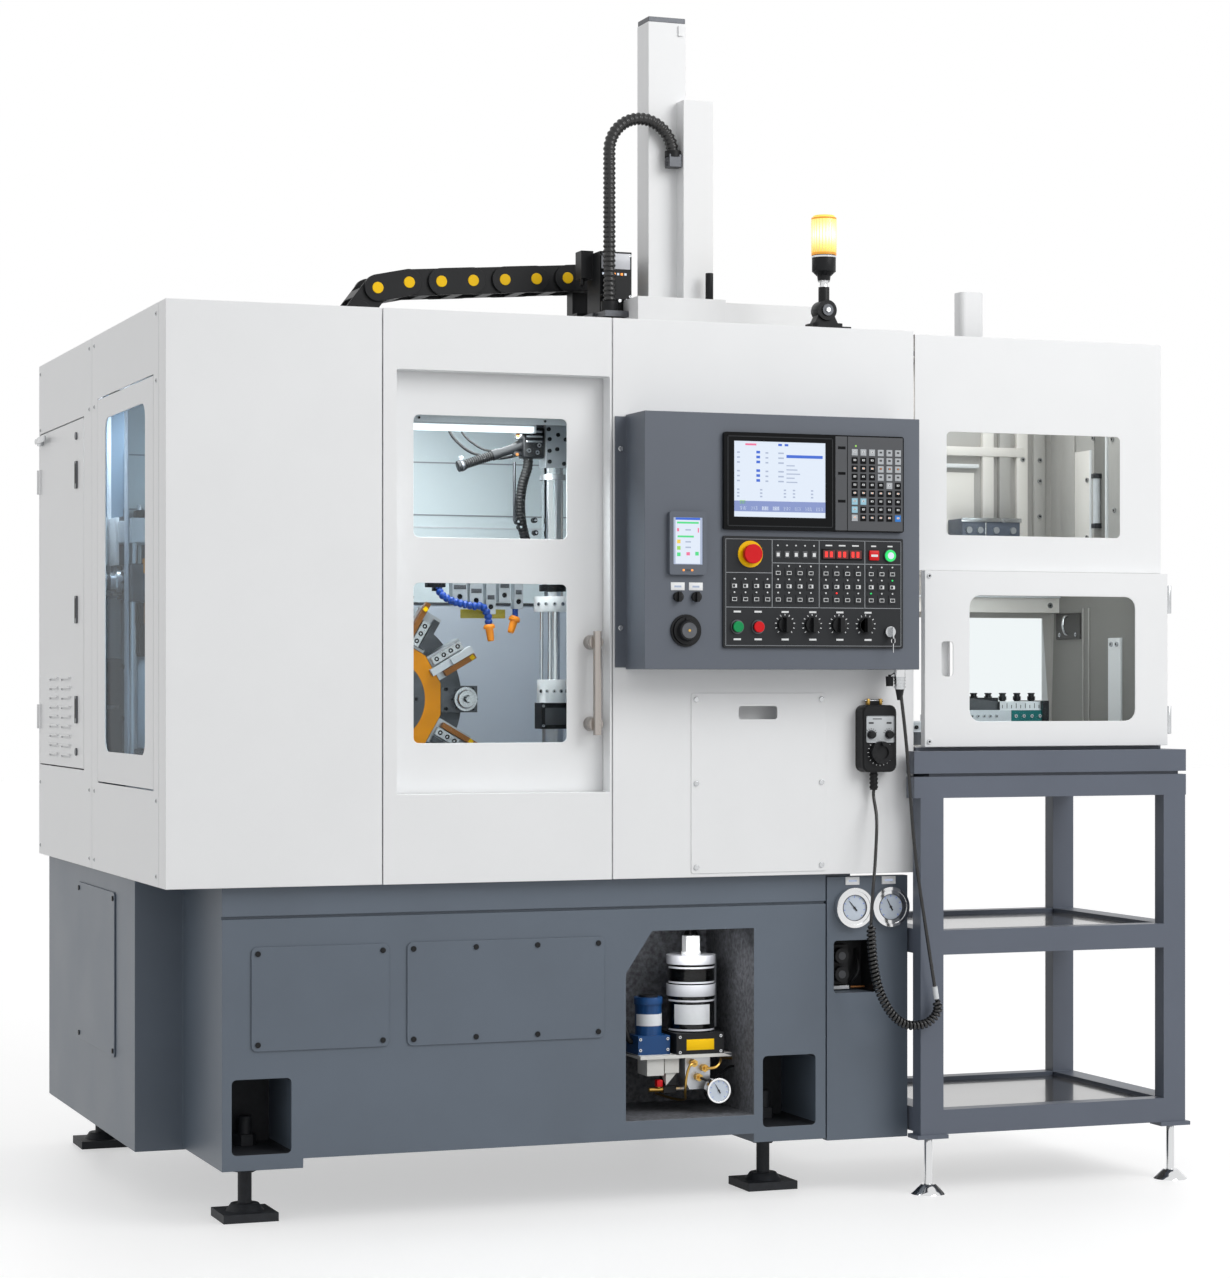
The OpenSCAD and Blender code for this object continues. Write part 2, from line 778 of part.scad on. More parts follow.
module left_panels() {
    color("white") {
        on_left(0, joint_side - seam / 2, enc_z) difference() {
            pan(joint_side - seam / 2 - corner_d, enc_h);
            cutout(joint_side - seam / 2 - inset_rear, inset_z - enc_z, inset_l, inset_h, 4);
        }
        on_left(0, inset_rear - seam, inset_z + seam) difference() {
            pan(inset_l - 2 * seam, inset_h - 2 * seam, 12);
            cutout(side_win_end - seam, side_win_low - seam, inset_l - 2 * side_win_end,
                inset_h - side_win_low - side_win_high, side_win_r);
        }
        translate([12 - sheet, inset_y - 12, inset_z + 60]) cube([sheet, 18, 30]);
        for (z = [inset_z + 60, inset_z + inset_h - 90]) for (y = [inset_y - 14, inset_rear - 14])
            translate([12, y, z]) cube([sheet, 28, 30]);
        for (z = [inset_z + 60, inset_z + inset_h - 90]) for (y = [inset_y - 14, inset_rear + 11])
            translate([sheet / 2, y, z]) cube([12, sheet, 30]);
        on_left(0, enc_d, enc_z) difference() {
            pan(enc_d - joint_side - seam / 2, enc_h);
            cutout(enc_d - cab_y - cab_l, cab_z - enc_z, cab_l, cab_h, 4);
        }
    }
}

module fixed_windows() {
    color("lightblue") {
        on_left(sheet + glass_t, inset_rear - side_win_end + glass_lap, inset_z + side_win_low - glass_lap)
            cube([inset_l - 2 * side_win_end + 2 * glass_lap,
                inset_h - side_win_low - side_win_high + 2 * glass_lap, glass_t]);
        on_front(enc_w + 83 - glass_lap, sheet + glass_t, load_mid + 80 - glass_lap)
            cube([up_pane_w + 2 * glass_lap, up_pane_h + 2 * glass_lap, glass_t]);
    }
}

duct_x = arm_x + 146;
duct_end = arm_x + 881;

module rear_shell() {
    color("white") {
        on_rear(enc_w, enc_d, enc_z) pan(enc_w - inner, enc_h);
        difference() {
            on_right(enc_w, inner, enc_z) pan(enc_d - 2 * inner, roof_z - enc_z);
            translate([enc_w - fold - over, slot_y - 6, pass_z]) cube([fold + 2 * over, slot_d + 12, enc_h]);
        }
        difference() {
            translate([inner, inner, roof_z - sheet])
                cube([enc_w - 2 * inner, enc_d - 2 * inner, sheet]);
            translate([slot_x, slot_y, roof_z - sheet - over]) cube([enc_w, slot_d, sheet + 2 * over]);
        }
        difference() {
            translate([inner, cab_y - 12, cab_z - 12])
                cube([cab_depth, cab_l + 24 - fold, cab_h + 24]);
            translate([fold, cab_y - 12 + sheet, cab_z - 12 + sheet])
                cube([cab_depth - sheet, cab_l + 24 - fold - 2 * sheet, cab_h + 24 - 2 * sheet]);
        }
        difference() {
            translate([duct_x, chain_y - 6, roof_z - 0.1])
                cube([duct_end - duct_x, link_w + 12, link_h + 12]);
            translate([duct_x - over, chain_y - 6 + sheet, roof_z + sheet])
                cube([duct_end - duct_x - sheet, link_w + 12 - 2 * sheet, link_h + 12 - 2 * sheet]);
        }
    }
}

module work_liner() {
    w = liner_right - liner_left;
    d = liner_rear - liner_y;
    h = liner_top - liner_floor;
    color("lightgray") {
        difference() {
            union() {
                translate([liner_left, liner_rear, liner_floor]) cube([w, sheet, h]);
                on_front(chuck_x, liner_rear + sheet, axis_z) cylinder(r = 105, h = 24);
            }
            on_front(chuck_x, liner_rear + 2 * sheet, axis_z) cylinder(r = spindle_r + play, h = 60);
        }
        difference() {
            translate([liner_left, liner_y, liner_floor]) cube([sheet, d, h]);
            translate([liner_left - over, inset_y + 60, inset_z + 40])
                cube([sheet + 2 * over, inset_l - 120, inset_h - 70]);
        }
        translate([liner_left, liner_y, liner_floor - sheet]) cube([w, d + sheet, sheet]);
        difference() {
            translate([liner_left, liner_y, liner_top]) cube([w, d + sheet, sheet]);
            translate([slot_x, slot_y, liner_top - over]) cube([liner_right, slot_d, sheet + 2 * over]);
        }
        translate([liner_right - sheet, liner_y, liner_floor]) cube([sheet, d, pass_z - liner_floor - 10]);
        translate([liner_left, liner_y, liner_floor]) cube([open_x - 20 - liner_left, sheet, h]);
        translate([joint_right + 15, liner_y, liner_floor])
            cube([liner_right - joint_right - 15, sheet, pass_z - liner_floor - 10]);
        for (x = rail_x)
            translate([x, rail_y, liner_floor]) cube([rail_w, liner_rear - rail_y, rail_rise]);
        for (x = [liner_left + 200, liner_right - 260]) translate([x, liner_y + 40, enc_z])
            cube([60, d - 80, liner_floor - sheet - enc_z]);
    }
}

module work_light() {
    color("white") {
        translate([open_x + 30, liner_y + 50, liner_top - 78]) cube([330, 36, 22]);
        for (x = [open_x + 60, open_x + 310])
            translate([x, liner_y + 60, liner_top - 56]) cube([20, 16, 56]);
    }
}

post_at = [joint_right - post_in, post_y0];
post_head = 1626;
ring_hi = [1306, 1340];
ring_lo = [1103, 1155];
ring_hi_r = 42;
ring_lo_r = 35;
column_r = 24;
rack_z = 1374;
rack_h = 34;
rack_d = 30;
rack_x = post_at[0] - 280;

module guide_post() {
    block_z = ring_lo[0] - 58;
    color("silver") {
        translate([post_at[0], post_at[1], 0]) {
            translate([-column_r, -column_r, post_head])
                cube([2 * column_r, 2 * column_r, liner_top - post_head]);
            translate([0, 0, ring_hi[1] - over])
                cylinder(r = column_r, h = post_head - ring_hi[1] + 2 * over);
            translate([0, 0, ring_hi[0]]) cylinder(r = ring_hi_r, h = ring_hi[1] - ring_hi[0]);
            for (rod = [[-26, 4], [-6, 5.5], [7, 10]])
                translate([rod[0], 0, ring_lo[1] - over])
                    cylinder(r = rod[1], h = ring_hi[0] - ring_lo[1] + 2 * over);
            translate([0, 0, ring_lo[0]]) cylinder(r = ring_lo_r, h = ring_lo[1] - ring_lo[0]);
            translate([-ring_lo_r + 1, -column_r, block_z])
                cube([2 * ring_lo_r - 2, 2 * column_r, ring_lo[0] - block_z + over]);
            translate([0, 0, liner_floor]) cylinder(r = column_r, h = block_z - liner_floor + over);
            translate([-ring_hi_r, -ring_hi_r, liner_floor]) cube([2 * ring_hi_r, 2 * ring_hi_r, 12]);
        }
        translate([rack_x, post_at[1] - rack_d / 2, rack_z]) cube([post_at[0] - rack_x, rack_d, rack_h]);
        for (tool = [[42, 34, 52], [82, 30, 60], [120, 22, 74], [150, 26, 48], [186, 20, 62]])
            on_front(rack_x + tool[0], post_at[1] + rack_d / 2 - 2, rack_z - tool[2]) difference() {
                cube([tool[1], tool[2] + over, rack_d - 4]);
                translate([tool[1] / 2, 16, rack_d - 12]) cylinder(r = 6, h = 12);
            }
    }
}

// Coolant nozzle with its flange
module nozzle(p, v) {
    rod(p, p + 0.25 * v, 13);
    rod(p + 0.2 * v, p + v, 8);
}

module hoses() {
    x = rack_x;
    y = post_at[1];
    post = post_at[0];
    tip = [x + 121, y - 28, 1277];
    arm = [post - 70, y, 1676];
    slant = [-3, 0, -1];
    color("royalblue") {
        run([[x + 10, y, 1360], [x + 18, y - 16, 1340], [x + 42, y - 28, 1326], [x + 83, y - 28, 1317],
            [x + 105, y - 28, 1318], [x + 118, y - 28, 1299], tip], 8);
        rod([x + 192, y, 1312 - seat], [x + 192, y, 1294], 6);
    }
    color("orange") {
        nozzle(tip, 1.7 * (tip - [x + 118, y - 28, 1299]));
        nozzle([x + 192, y, 1295], [-12, -2, -36]);
    }
    color("black") {
        translate([x - 14, y - rack_d / 2, 1358]) cube([40, rack_d, rack_z - 1358 - seat]);
        translate([post - 78, y - 20, 1648]) cube([78 - column_r - seat, 40, 82]);
        run([[post - 58, y, 1648 - seat], [post - 58, y, 1628], [post - 78, y, 1550], [post - 58, y, 1460],
            [post - 58, y, rack_z + rack_h + seat]], 11);
        rod(arm, arm + 26 * slant, 9);
        rod(arm + 25 * slant, arm + 50 * slant, 11);
    }
}

module control_box() {
    color("white") {
        translate([box_left, box_y, box_z]) cube([box_w, box_d, box_h]);
        translate([box_left - flange_w, -sheet, box_z + 4]) cube([flange_w + over, sheet, box_h - 8]);
    }
}

touch_x = box_left + 53;
touch_z = box_z + 203;

keypad_x = 303;
keypad_z = 24;
pad_z = 98;
pads = [[16, 4, 2], [119, 4, 3], [233, 4, 3], [342, 3, 3]];

module control_units() {
    color("black") {
        on_front(unit_x, box_y, unit_z) difference() {
            slab(unit_w, unit_h, 5, unit_t);
            translate([24, 28, unit_t - 3]) slab(218, 166, 2, 3 + over);
        }
        for (i = [0:5]) for (k = [0:8])
            on_front(unit_x + keypad_x + i * key_step, unit_y, unit_z + keypad_z + k * key_rise)
                cube([key_w, key_w, key_h]);
        on_front(unit_x, box_y, oper_z) difference() {
            slab(unit_w, oper_h, 4, oper_t);
            for (b = buttons)
                translate([b[0], b[1], -over]) cylinder(d = b[2] * 0.6 + 2 * play, h = oper_t + 2 * over + 2);
        }
        for (g = pads) for (i = [0:g[1] - 1]) for (k = [0:g[2] - 1])
            on_front(unit_x + g[0] + i * pad_step, oper_y, oper_z + pad_z + k * pad_rise)
                cube([pad_key, pad_key, key_h]);
        on_front(touch_x, box_y, touch_z) difference() {
            slab(touch_w, touch_h, 5, 12);
            translate([9, 22, 10]) slab(touch_w - 18, touch_h - 34, 2, 2 + over);
        }
        on_front(unit_x + 63, oper_y, oper_z + 204) difference() {
            cylinder(d = stop_d + 16, h = 2);
            translate([0, 0, -over]) cylinder(d = stop_d * 0.6 + 2 * play, h = 2 + 2 * over);
        }
    }
}

post_top = 2111;
rib = 5;

module loader_cabinet() {
    w = load_right - load_x;
    low_h = load_mid - load_z;
    color("white") {
        translate([load_x, 0, load_z]) cube([w, load_d, sheet]);
        translate([load_right - sheet, 0, load_z]) cube([sheet, load_d, low_h - 1]);
        translate([load_x, load_d - sheet, load_open]) cube([w, sheet, load_mid - load_open]);
        translate([load_right - load_flange, load_d - sheet, load_z])
            cube([load_flange, sheet, load_open - load_z + over]);
        translate([load_right - sheet - rib, 174, load_z + sheet - over]) cube([rib + over, 60, 252]);
        translate([load_right - sheet - rib, 372, load_z + 254]) cube([rib + over, 120, 64]);
        translate([load_x + 20, load_d - 46, load_z + 320]) cube([w - sheet - 20 + over, 24, 36]);
        for (y = [170, 300, 420])
            translate([load_right - sheet - rib, y, load_mid + 20])
                cube([rib + over, 70, load_top - load_mid - 40]);
        translate([load_x, 0, load_mid - 1]) difference() {
            cube([w, load_d, load_top - load_mid]);
            translate([-over, sheet, -over])
                cube([w - sheet + over, load_d - 2 * sheet, load_top - load_mid - sheet + over]);
            on_front(enc_w + 83 - load_x, sheet + over, 81)
                slab(up_pane_w, up_pane_h, 10, sheet + 2 * over);
            translate([-over, slot_y, 0]) cube([duct_end - enc_w - 20, slot_d, load_top]);
        }
        translate([load_right - 250, load_d, load_mid]) slab(64, 46, 12, post_top - load_mid);
    }
}

module loader_stand() {
    rim = 50;
    low_rim = 48;
    gap = 7;
    top_low = stand_top - rim - gap - low_rim;
    color("slategray") {
        for (i = [0, 1]) for (k = [0, 1]) {
            x = k == 0 ? post_x[i] : side_x[i];
            translate([x, post_y[k], rail_low - rail_h]) cube([tube_w, tube_d, top_low - rail_low + rail_h]);
            if (k == 0)
                translate([x - 10, post_y[k] - 6, rail_low - rail_h - 9]) cube([tube_w + 20, tube_d + 12, 9]);
        }
        for (z = [rail_low - rail_h, rail_mid - rail_h])
            translate([base_right + seat, post_y[1] + 4, z + 4])
                cube([side_x[0] + over - base_right - seat, tube_d - 8, rail_h - 8]);
        for (z = [rail_low - rail_h, rail_mid - rail_h]) stand_ring(post_x[0], z, rail_h);
        stand_ring(stand_x, top_low, low_rim);
        stand_ring(stand_x, stand_top - rim, rim);
        translate([side_x[0] + shadow_in, post_y[0] + shadow_in, top_low + low_rim])
            cube([side_x[1] - side_x[0] + tube_w - 2 * shadow_in, stand_d - 2 * shadow_in, gap]);
        translate([load_x + 2, 0, stand_top]) cube([load_w - 6, load_d, load_z - stand_top - seat]);
    }
    color("black") for (z = [rail_low - 14, rail_mid - 14])
        translate([side_x[0] + tube_w, post_y[0] + tube_d, z])
            cube([side_x[1] - side_x[0] - tube_w, stand_d - 2 * tube_d, 4]);
}

// Four rails round the stand at one height
module stand_ring(x, z, h) {
    right = x == stand_x ? stand_x + stand_w : post_x[1] + tube_w;
    translate([x, post_y[0], z]) cube([right - x, tube_d, h]);
    translate([side_x[0], post_y[1], z]) cube([right - side_x[0], tube_d, h]);
    for (i = [0, 1]) translate([side_x[i], post_y[0], z]) cube([tube_w, stand_d, h]);
}

module stocker() {
    z = load_z + sheet;
    y = 150;
    left = load_x + 30;
    rails = 30;
    table_h = 25;
    deck = z + rails - over + table_h - over;
    base_h = 27;
    upper = deck + base_h - over;
    module_x = load_right - 426;
    module_w = 88;
    color("silver") {
        for (dy = [0, 110, 270]) translate([left, y + dy, z]) cube([load_w - 70, 40, rails]);
        translate([left, y + 2, z + rails - over]) cube([load_right - 216 - left, 146, table_h]);
        translate([module_x, y + 4, deck]) cube([module_w, 130, base_h]);
        translate([module_x, y + 16, upper]) cube([module_w, 110, 30]);
        translate([load_right - 310, y + 3, deck]) cube([84, 120, base_h]);
        translate([load_right - 339, y + 6, upper]) cube([113, 114, 21]);
        translate([load_right - 346, y + 4, deck]) cube([37, 120, base_h]);
        translate([load_right - 231, y - 1, z + rails]) cube([18, 130, 72]);
        for (i = [0:5]) translate([load_right - 418 + 38 * i, y + 60, z + 98]) cylinder(r = 7, h = 19);
        for (x = [60, 150]) translate([left + x, y + 140, z + 29]) cylinder(r = 22, h = 40);
    }
}

module gantry_beam() {
    color("gray") {
        translate([arm_x - 274, beam_y, beam_low]) cube([load_right - 4 - arm_x + 274, beam_d, beam_h]);
        for (x = [arm_x - 244, enc_w - 81])
            translate([x, beam_y + 6, roof_z]) cube([50, beam_d - 12, beam_low - roof_z]);
        translate([load_right - 70, beam_y + 6, load_top - 1]) cube([60, 60, beam_low - load_top + 1]);
    }
}

lamp_z = enc_top + 123;
housing_h = 46;
lamp_y = 60;

module signal_light() {
    joint_z = enc_top + 44;
    foot_h = 12;
    tube_r = 12.5;
    color("black") {
        translate([lamp_x - 40, 0, enc_top]) cube([80, 96, sheet]);
        translate([lamp_x - 36, lamp_y - 30, enc_top + sheet - over]) slab(72, 60, 10, foot_h);
        on_front(lamp_x, lamp_y + 14, enc_top + foot_h) linear_extrude(28)
            polygon([[-30, 0], [30, 0], [14, joint_z - enc_top - foot_h], [-14, joint_z - enc_top - foot_h]]);
        on_front(lamp_x, lamp_y + 20, joint_z) cylinder(d = tilt_d, h = 40);
        translate([lamp_x, lamp_y, joint_z]) cylinder(r = tube_r, h = lamp_z - 26 - joint_z);
        translate([lamp_x, lamp_y, lamp_z - 27]) cylinder(r = tube_r - 3, h = 14);
        translate([lamp_x, lamp_y, lamp_z - 14]) cylinder(r1 = tube_r + 1, r2 = tube_r + 3, h = 15);
        translate([lamp_x, lamp_y, lamp_z]) cylinder(d1 = 34, d2 = lamp_d, h = 10);
        translate([lamp_x, lamp_y, lamp_z + 10 - over]) cylinder(d = lamp_d, h = housing_h - 10 + over);
    }
}

module signal_lens() {
    color("orange") translate([lamp_x, lamp_y, lamp_z + housing_h]) {
        cylinder(d = lamp_d + 2, h = lens_h);
        translate([0, 0, lens_h - over]) cylinder(d1 = lamp_d + 2, d2 = lamp_d - 6, h = 5 + over);
    }
}

module pendant() {
    hook_w = 24;
    knob_in = 20;
    knob_up = 84;
    relief_h = 40;
    color("gainsboro") {
        on_front(pend_x, 0, pend_z) {
            slab(pend_w, pend_h, pend_r, pend_d - 3);
            translate([3, 3, 0]) slab(pend_w - 6, pend_h - 6, pend_r - 3, pend_d);
            translate([(pend_w - hook_w) / 2, pend_h - over, 4]) cube([hook_w, 9, 8]);
        }
        translate([plug_x, -pend_d / 2, pend_z - relief_h]) {
            cylinder(r = 8, h = relief_h + over);
            for (k = [0:3]) translate([0, 0, 4 + 9 * k]) cylinder(r = 9.5, h = 5);
        }
        for (x = [knob_in, pend_w - knob_in])
            on_front(pend_x + x, -pend_d, pend_z + knob_up) cylinder(d = 16, h = 12);
    }
}

module handwheel() {
    color("black") on_front(pend_x + pend_w / 2, -pend_d - play, pend_z + 44) {
        difference() {
            cylinder(d = wheel_d, h = 14);
            translate([0, 0, 9]) cylinder(d = wheel_d * 0.6, h = 5 + over);
        }
        translate([0, wheel_d * 0.38, 13]) cylinder(r = 5, h = 12);
    }
}

plug_x = pend_x + pend_w / 2 - 6;
lead_pts = [[cord_x - 22, -60, box_z - 20], [cord_x - 20, -64, box_z - 60], [cord_x - 12, -76, 1000],
    [cord_x + 3, cord_y, 774], [cord_x + 31, cord_y, 594], [cord_x + 57, cord_y, 440]];
coil_pts = [[cord_x + 57, cord_y, 440], [cord_x + 59, cord_y, 416], [cord_x + 47, cord_y, 398],
    [cord_x + 23, cord_y, 386], [cord_x - 14, cord_y, 386], [cord_x - 41, cord_y, 400],
    [cord_x - 63, cord_y, 424], [cord_x - 83, cord_y, 462], [cord_x - 95, cord_y, 505],
    [cord_x - 102, cord_y, 555], [cord_x - 105, cord_y, 612]];
tail_pts = [[cord_x - 105, cord_y, 612], [cord_x - 95, cord_y + 10, 690], [cord_x - 83, cord_y + 24, 753],
    [cord_x - 71, -44, 840], [plug_x, -pend_d / 2, 890], [plug_x, -pend_d / 2, pend_z - 40 - seat]];

module pendant_cord() {
    color("black") {
        swept(lead_pts, cord_d / 2);
        swept(coil_pts, coil_d / 2);
        swept(tail_pts, cord_d / 2);
        translate([cord_x - 22, -60, box_z - 44]) cylinder(r = 13, h = 44 - seat);
    }
}

module front_door() {
    color("white") on_front(door_x, door_set, door_z) difference() {
        pan(door_w, door_h, door_t);
        cutout(pane_x + door_lap, pane_low_z + door_lap, pane_w, pane_low_h, pane_r);
        cutout(pane_x + door_lap, pane_up_z + door_lap, pane_w, pane_up_h, pane_r);
    }
}

module door_glass() {
    color("lightblue") for (p = [[pane_low_z, pane_low_h], [pane_up_z, pane_up_h]])
        on_front(pane_left - glass_lap, door_set + sheet + glass_t, open_z + p[0] - glass_lap)
            cube([pane_w + 2 * glass_lap, p[1] + 2 * glass_lap, glass_t]);
}

module door_handle() {
    x = open_x + open_w - 29;
    z = open_z + 124;
    boss_in = 24;
    color("silver") {
        translate([x - handle_w / 2, door_set - handle_out - handle_d / 2, z])
            slab(handle_w, handle_d, 3, handle_l);
        for (h = [boss_in, handle_l - boss_in])
            on_front(x, door_set, z + h) cylinder(d = boss_d, h = handle_out - handle_d / 2 + over);
    }
}

module loader_door() {
    h = load_mid - load_z - 4;
    color("white") on_front(load_door_x, -2, load_z + 2) difference() {
        translate([0, 0, load_door_t]) pan(load_door_w, h, load_door_t);
        translate([load_pane_x, 57, -over]) slab(load_pane_w, load_pane_h, 26, load_door_t + 2 * over);
        translate([42, h / 2 - 40, -over]) slab(pull_w, pull_h, 8, load_door_t + 2 * over);
    }
}

module loader_glass() {
    color("lightblue")
        translate([load_door_x + load_pane_x - glass_lap, 0, load_z + 59 - glass_lap])
            on_front(0, -2 - load_door_t + sheet + glass_t, 0)
                cube([load_pane_w + 2 * glass_lap, load_pane_h + 2 * glass_lap, glass_t]);
}

hinge_out = 4;

module cabinet_door() {
    w = cab_l - 2 * seam;
    h = cab_h - 2 * seam;
    lou_x = w / 2 - louvre_l - 30;
    color("white") on_left(0, cab_y + cab_l - seam, cab_z + seam) {
        difference() {
            pan(w, h);
            for (i = [0, 1]) for (k = [0:louvre_n - 1])
                cutout(lou_x + i * (louvre_l + 30), 22 + k * louvre_step, louvre_l, 5, 2);
        }
        for (i = [0, 1]) for (k = [0:louvre_n - 1])
            translate([lou_x + i * (louvre_l + 30), 22 + k * louvre_step + 5, -sheet])
                cube([louvre_l, 4, sheet + 6]);
    }
    color("dimgray") {
        for (z = [cab_z + 108, cab_z + 344, cab_z + 662])
            on_left(0, cab_y + 88 + latch_l / 2, z) slab(latch_l, latch_h, 5, 4);
        for (z = [cab_z + 41, cab_z + cab_h - 40]) on_left(0, cab_y + 88, z) cylinder(r = 9, h = 4);
        for (z = [cab_z + 90, cab_z + cab_h - 150]) {
            translate([-hinge_out, cab_y + cab_l - 1, z]) cylinder(r = hinge_out - seat, h = 60);
            translate([-hinge_out, cab_y + cab_l - 22, z]) cube([hinge_out, 21, 60]);
        }
    }
}

cover_x = arm_x - 64;
cover_y = arm_y - 100;
cover_low = 1948;
cover_d = 95;
drive_z = cover_low + 2;
drive_h = 70;
arm_duct_x = arm_x + 70;
socket_w = 32;

module carriage_cover() {
    motor_cover = [266, 112, 80];
    motor_y = arm_y - 20;
    color("white") {
        difference() {
            translate([cover_x, cover_y, cover_low]) cube([cover_w, cover_d, cover_top - cover_low]);
            translate([cover_x + sheet, cover_y + sheet, cover_low - over])
                cube([cover_w - 2 * sheet, cover_d - 2 * sheet, cover_top - cover_low - sheet + over]);
            translate([arm_duct_x - socket_w - 4, arm_y - duct_d - 4, cover_low - over])
                cube([duct_w + socket_w + 5, duct_d + 10, 100 + over]);
        }
        difference() {
            translate([cover_x + cover_w, motor_y, drive_z]) cube(motor_cover);
            translate([cover_x + cover_w + sheet, motor_y + sheet, drive_z - over])
                cube(motor_cover - [2 * sheet, 2 * sheet, sheet - over]);
        }
    }
}

module carriage_drive() {
    side = 20;
    x = arm_x - side;
    color("black") {
        translate([x, guide_y, drive_z]) cube([arm_w + 2 * side, beam_y - play - guide_y, drive_h]);
        translate([x, arm_y - 5, drive_z]) cube([side - play, arm_d + 20, drive_h]);
        translate([arm_x + arm_w + play, arm_y + 4, drive_z]) cube([side - play, arm_d + 10, drive_h]);
        translate([x - 34, beam_y - 20, beam_low + beam_h + play]) cube([arm_w + 100, beam_d + 20, 26]);
        translate([x - 110, arm_y + 20, 1984]) cube([112, beam_y - arm_y - 22, 14]);
        translate([x - 100, arm_y - 2, 1998]) cube([78, 84, 140]);
        translate([x - 128, arm_y + 46, 2080]) cube([30, 40, 64]);
        translate([x - 110, beam_y + 20, 2000]) cube([200, chain_y + link_w - beam_y - 20, 10]);
        translate([x - 80, chain_y + 30, 2009]) cube([60, 40, 63]);
        translate([arm_duct_x + 50, cover_y + 22, cover_top]) cylinder(r = 9, h = 62);
        translate([cover_x - 58, arm_y - 42, 1984]) cube([58, 66, 14]);
    }
}

top_pt = chain_c + bend_r * [-sin(run_slope), cos(run_slope)];
cap_r = 13;
cap_h = 2;
bend_l = bend_r * PI * (180 - run_slope) / 180;

// Point on the centre line of the cable chain, measured from its upper end
function chain_at(s) =
    s < run_l ? top_pt + (run_l - s) * [cos(run_slope), sin(run_slope)]
    : s < run_l + bend_l ? let (a = 90 + run_slope + (s - run_l) / bend_r * 180 / PI)
        chain_c + bend_r * [cos(a), sin(a)]
    : chain_c + [s - run_l - bend_l, -bend_r];

// One chain link between two pins, with side plates and cross bars
module link(p, q, inset) {
    v = q - p;
    r = link_h / 2;
    translate([p[0], chain_y, p[1]]) rotate([0, -atan2(v[1], v[0]), 0]) {
        for (y = [inset, link_w - inset - 7])
            translate([0, y + 7, 0]) rotate([90, 0, 0]) linear_extrude(7) union() {
                translate([0, -r]) square([norm(v), link_h]);
                circle(r = r);
                translate([norm(v), 0]) circle(r = r);
            }
        for (z = [-r, r - 6])
            translate([norm(v) / 2 - 14, inset + 3, z]) cube([28, link_w - 2 * inset - 6, 6]);
        if (inset == 0) for (x = [0, norm(v)]) for (y = [0, link_w + cap_h])
            translate([x, y, 0]) rotate([90, 0, 0]) cylinder(r = cap_r, h = cap_h);
    }
}

module cable_chain() {
    color("black") for (i = [0:link_n - 1])
        link(chain_at(i * link_pitch), chain_at((i + 1) * link_pitch), i % 2 == 0 ? 0 : 7.5);
}

hose_at = [cover_x - 40, arm_y - duct_d / 2];
hose_top = duct_top - 125;
hose_bend = 78;

module arm_hose() {
    color("black") {
        translate([hose_at[0], hose_at[1], 1998]) cylinder(d = hose_d, h = hose_top - 1998);
        translate([hose_at[0] + hose_bend, hose_at[1], hose_top]) rotate([90, 0, 0])
            rotate_extrude(angle = 180) translate([hose_bend, 0]) circle(d = hose_d);
    }
}

module arm_column() {
    color("white") {
        translate([arm_x, arm_y, arm_low]) cube([arm_w, arm_d, arm_top - arm_low]);
        translate([arm_duct_x, arm_y - duct_d, arm_low]) cube([duct_w, duct_d, duct_top - arm_low]);
    }
}

grip_x = arm_x + arm_w / 2;
grip_y = arm_y + arm_d / 2;
flange_h = 18;
jaw_gap = 18;

module arm_fittings() {
    color("dimgray") {
        translate([arm_x + 1, arm_y + 1, arm_top]) cube([arm_w - 2, arm_d - 2, 12]);
        translate([arm_x + arm_w - 20, arm_y - 4, arm_top - 30]) cube([12, 4, 24]);
        translate([arm_duct_x - socket_w, hose_at[1] - 15, hose_top - 30]) cube([socket_w, 30, 30]);
        translate([grip_x - 56, grip_y - 46, arm_low - flange_h]) cube([112, 92, flange_h]);
        translate([grip_x - grip_w / 2, grip_y - 40, arm_low - flange_h - grip_h]) cube([grip_w, 80, grip_h]);
    }
}

module jaw(side) {
    x = grip_x + side * (jaw_gap + jaw_w / 2);
    color("silver") translate([x - jaw_w / 2, grip_y - jaw_d / 2, arm_low - flange_h - grip_h - jaw_l])
        cube([jaw_w, jaw_d, jaw_l - play]);
}

module jaw_left() {
    jaw(-1);
}

module jaw_right() {
    jaw(1);
}

saddle_top = axis_z - 150;
saddle_y = 430;

module turret_saddle() {
    lip = 14;
    color("gray") {
        translate([rail_x[0] - 30, saddle_y, liner_floor + rail_rise + play])
            cube([rail_x[1] - rail_x[0] + 2 * rail_w, saddle_d, saddle_top - liner_floor - rail_rise - play]);
        for (x = rail_x) for (s = [-lip - play, rail_w + play])
            translate([x + s, saddle_y, liner_floor + 20]) cube([lip, saddle_d, 60]);
    }
}

module turret_housing() {
    y = turret_y + disc_t + play;
    w = 240;
    color("gray") {
        translate([turret_x - w / 2, y, saddle_top + play]) cube([w, 640 - y, 260]);
        on_front(turret_x, y + 60, axis_z) cylinder(r = 96, h = 60);
    }
}

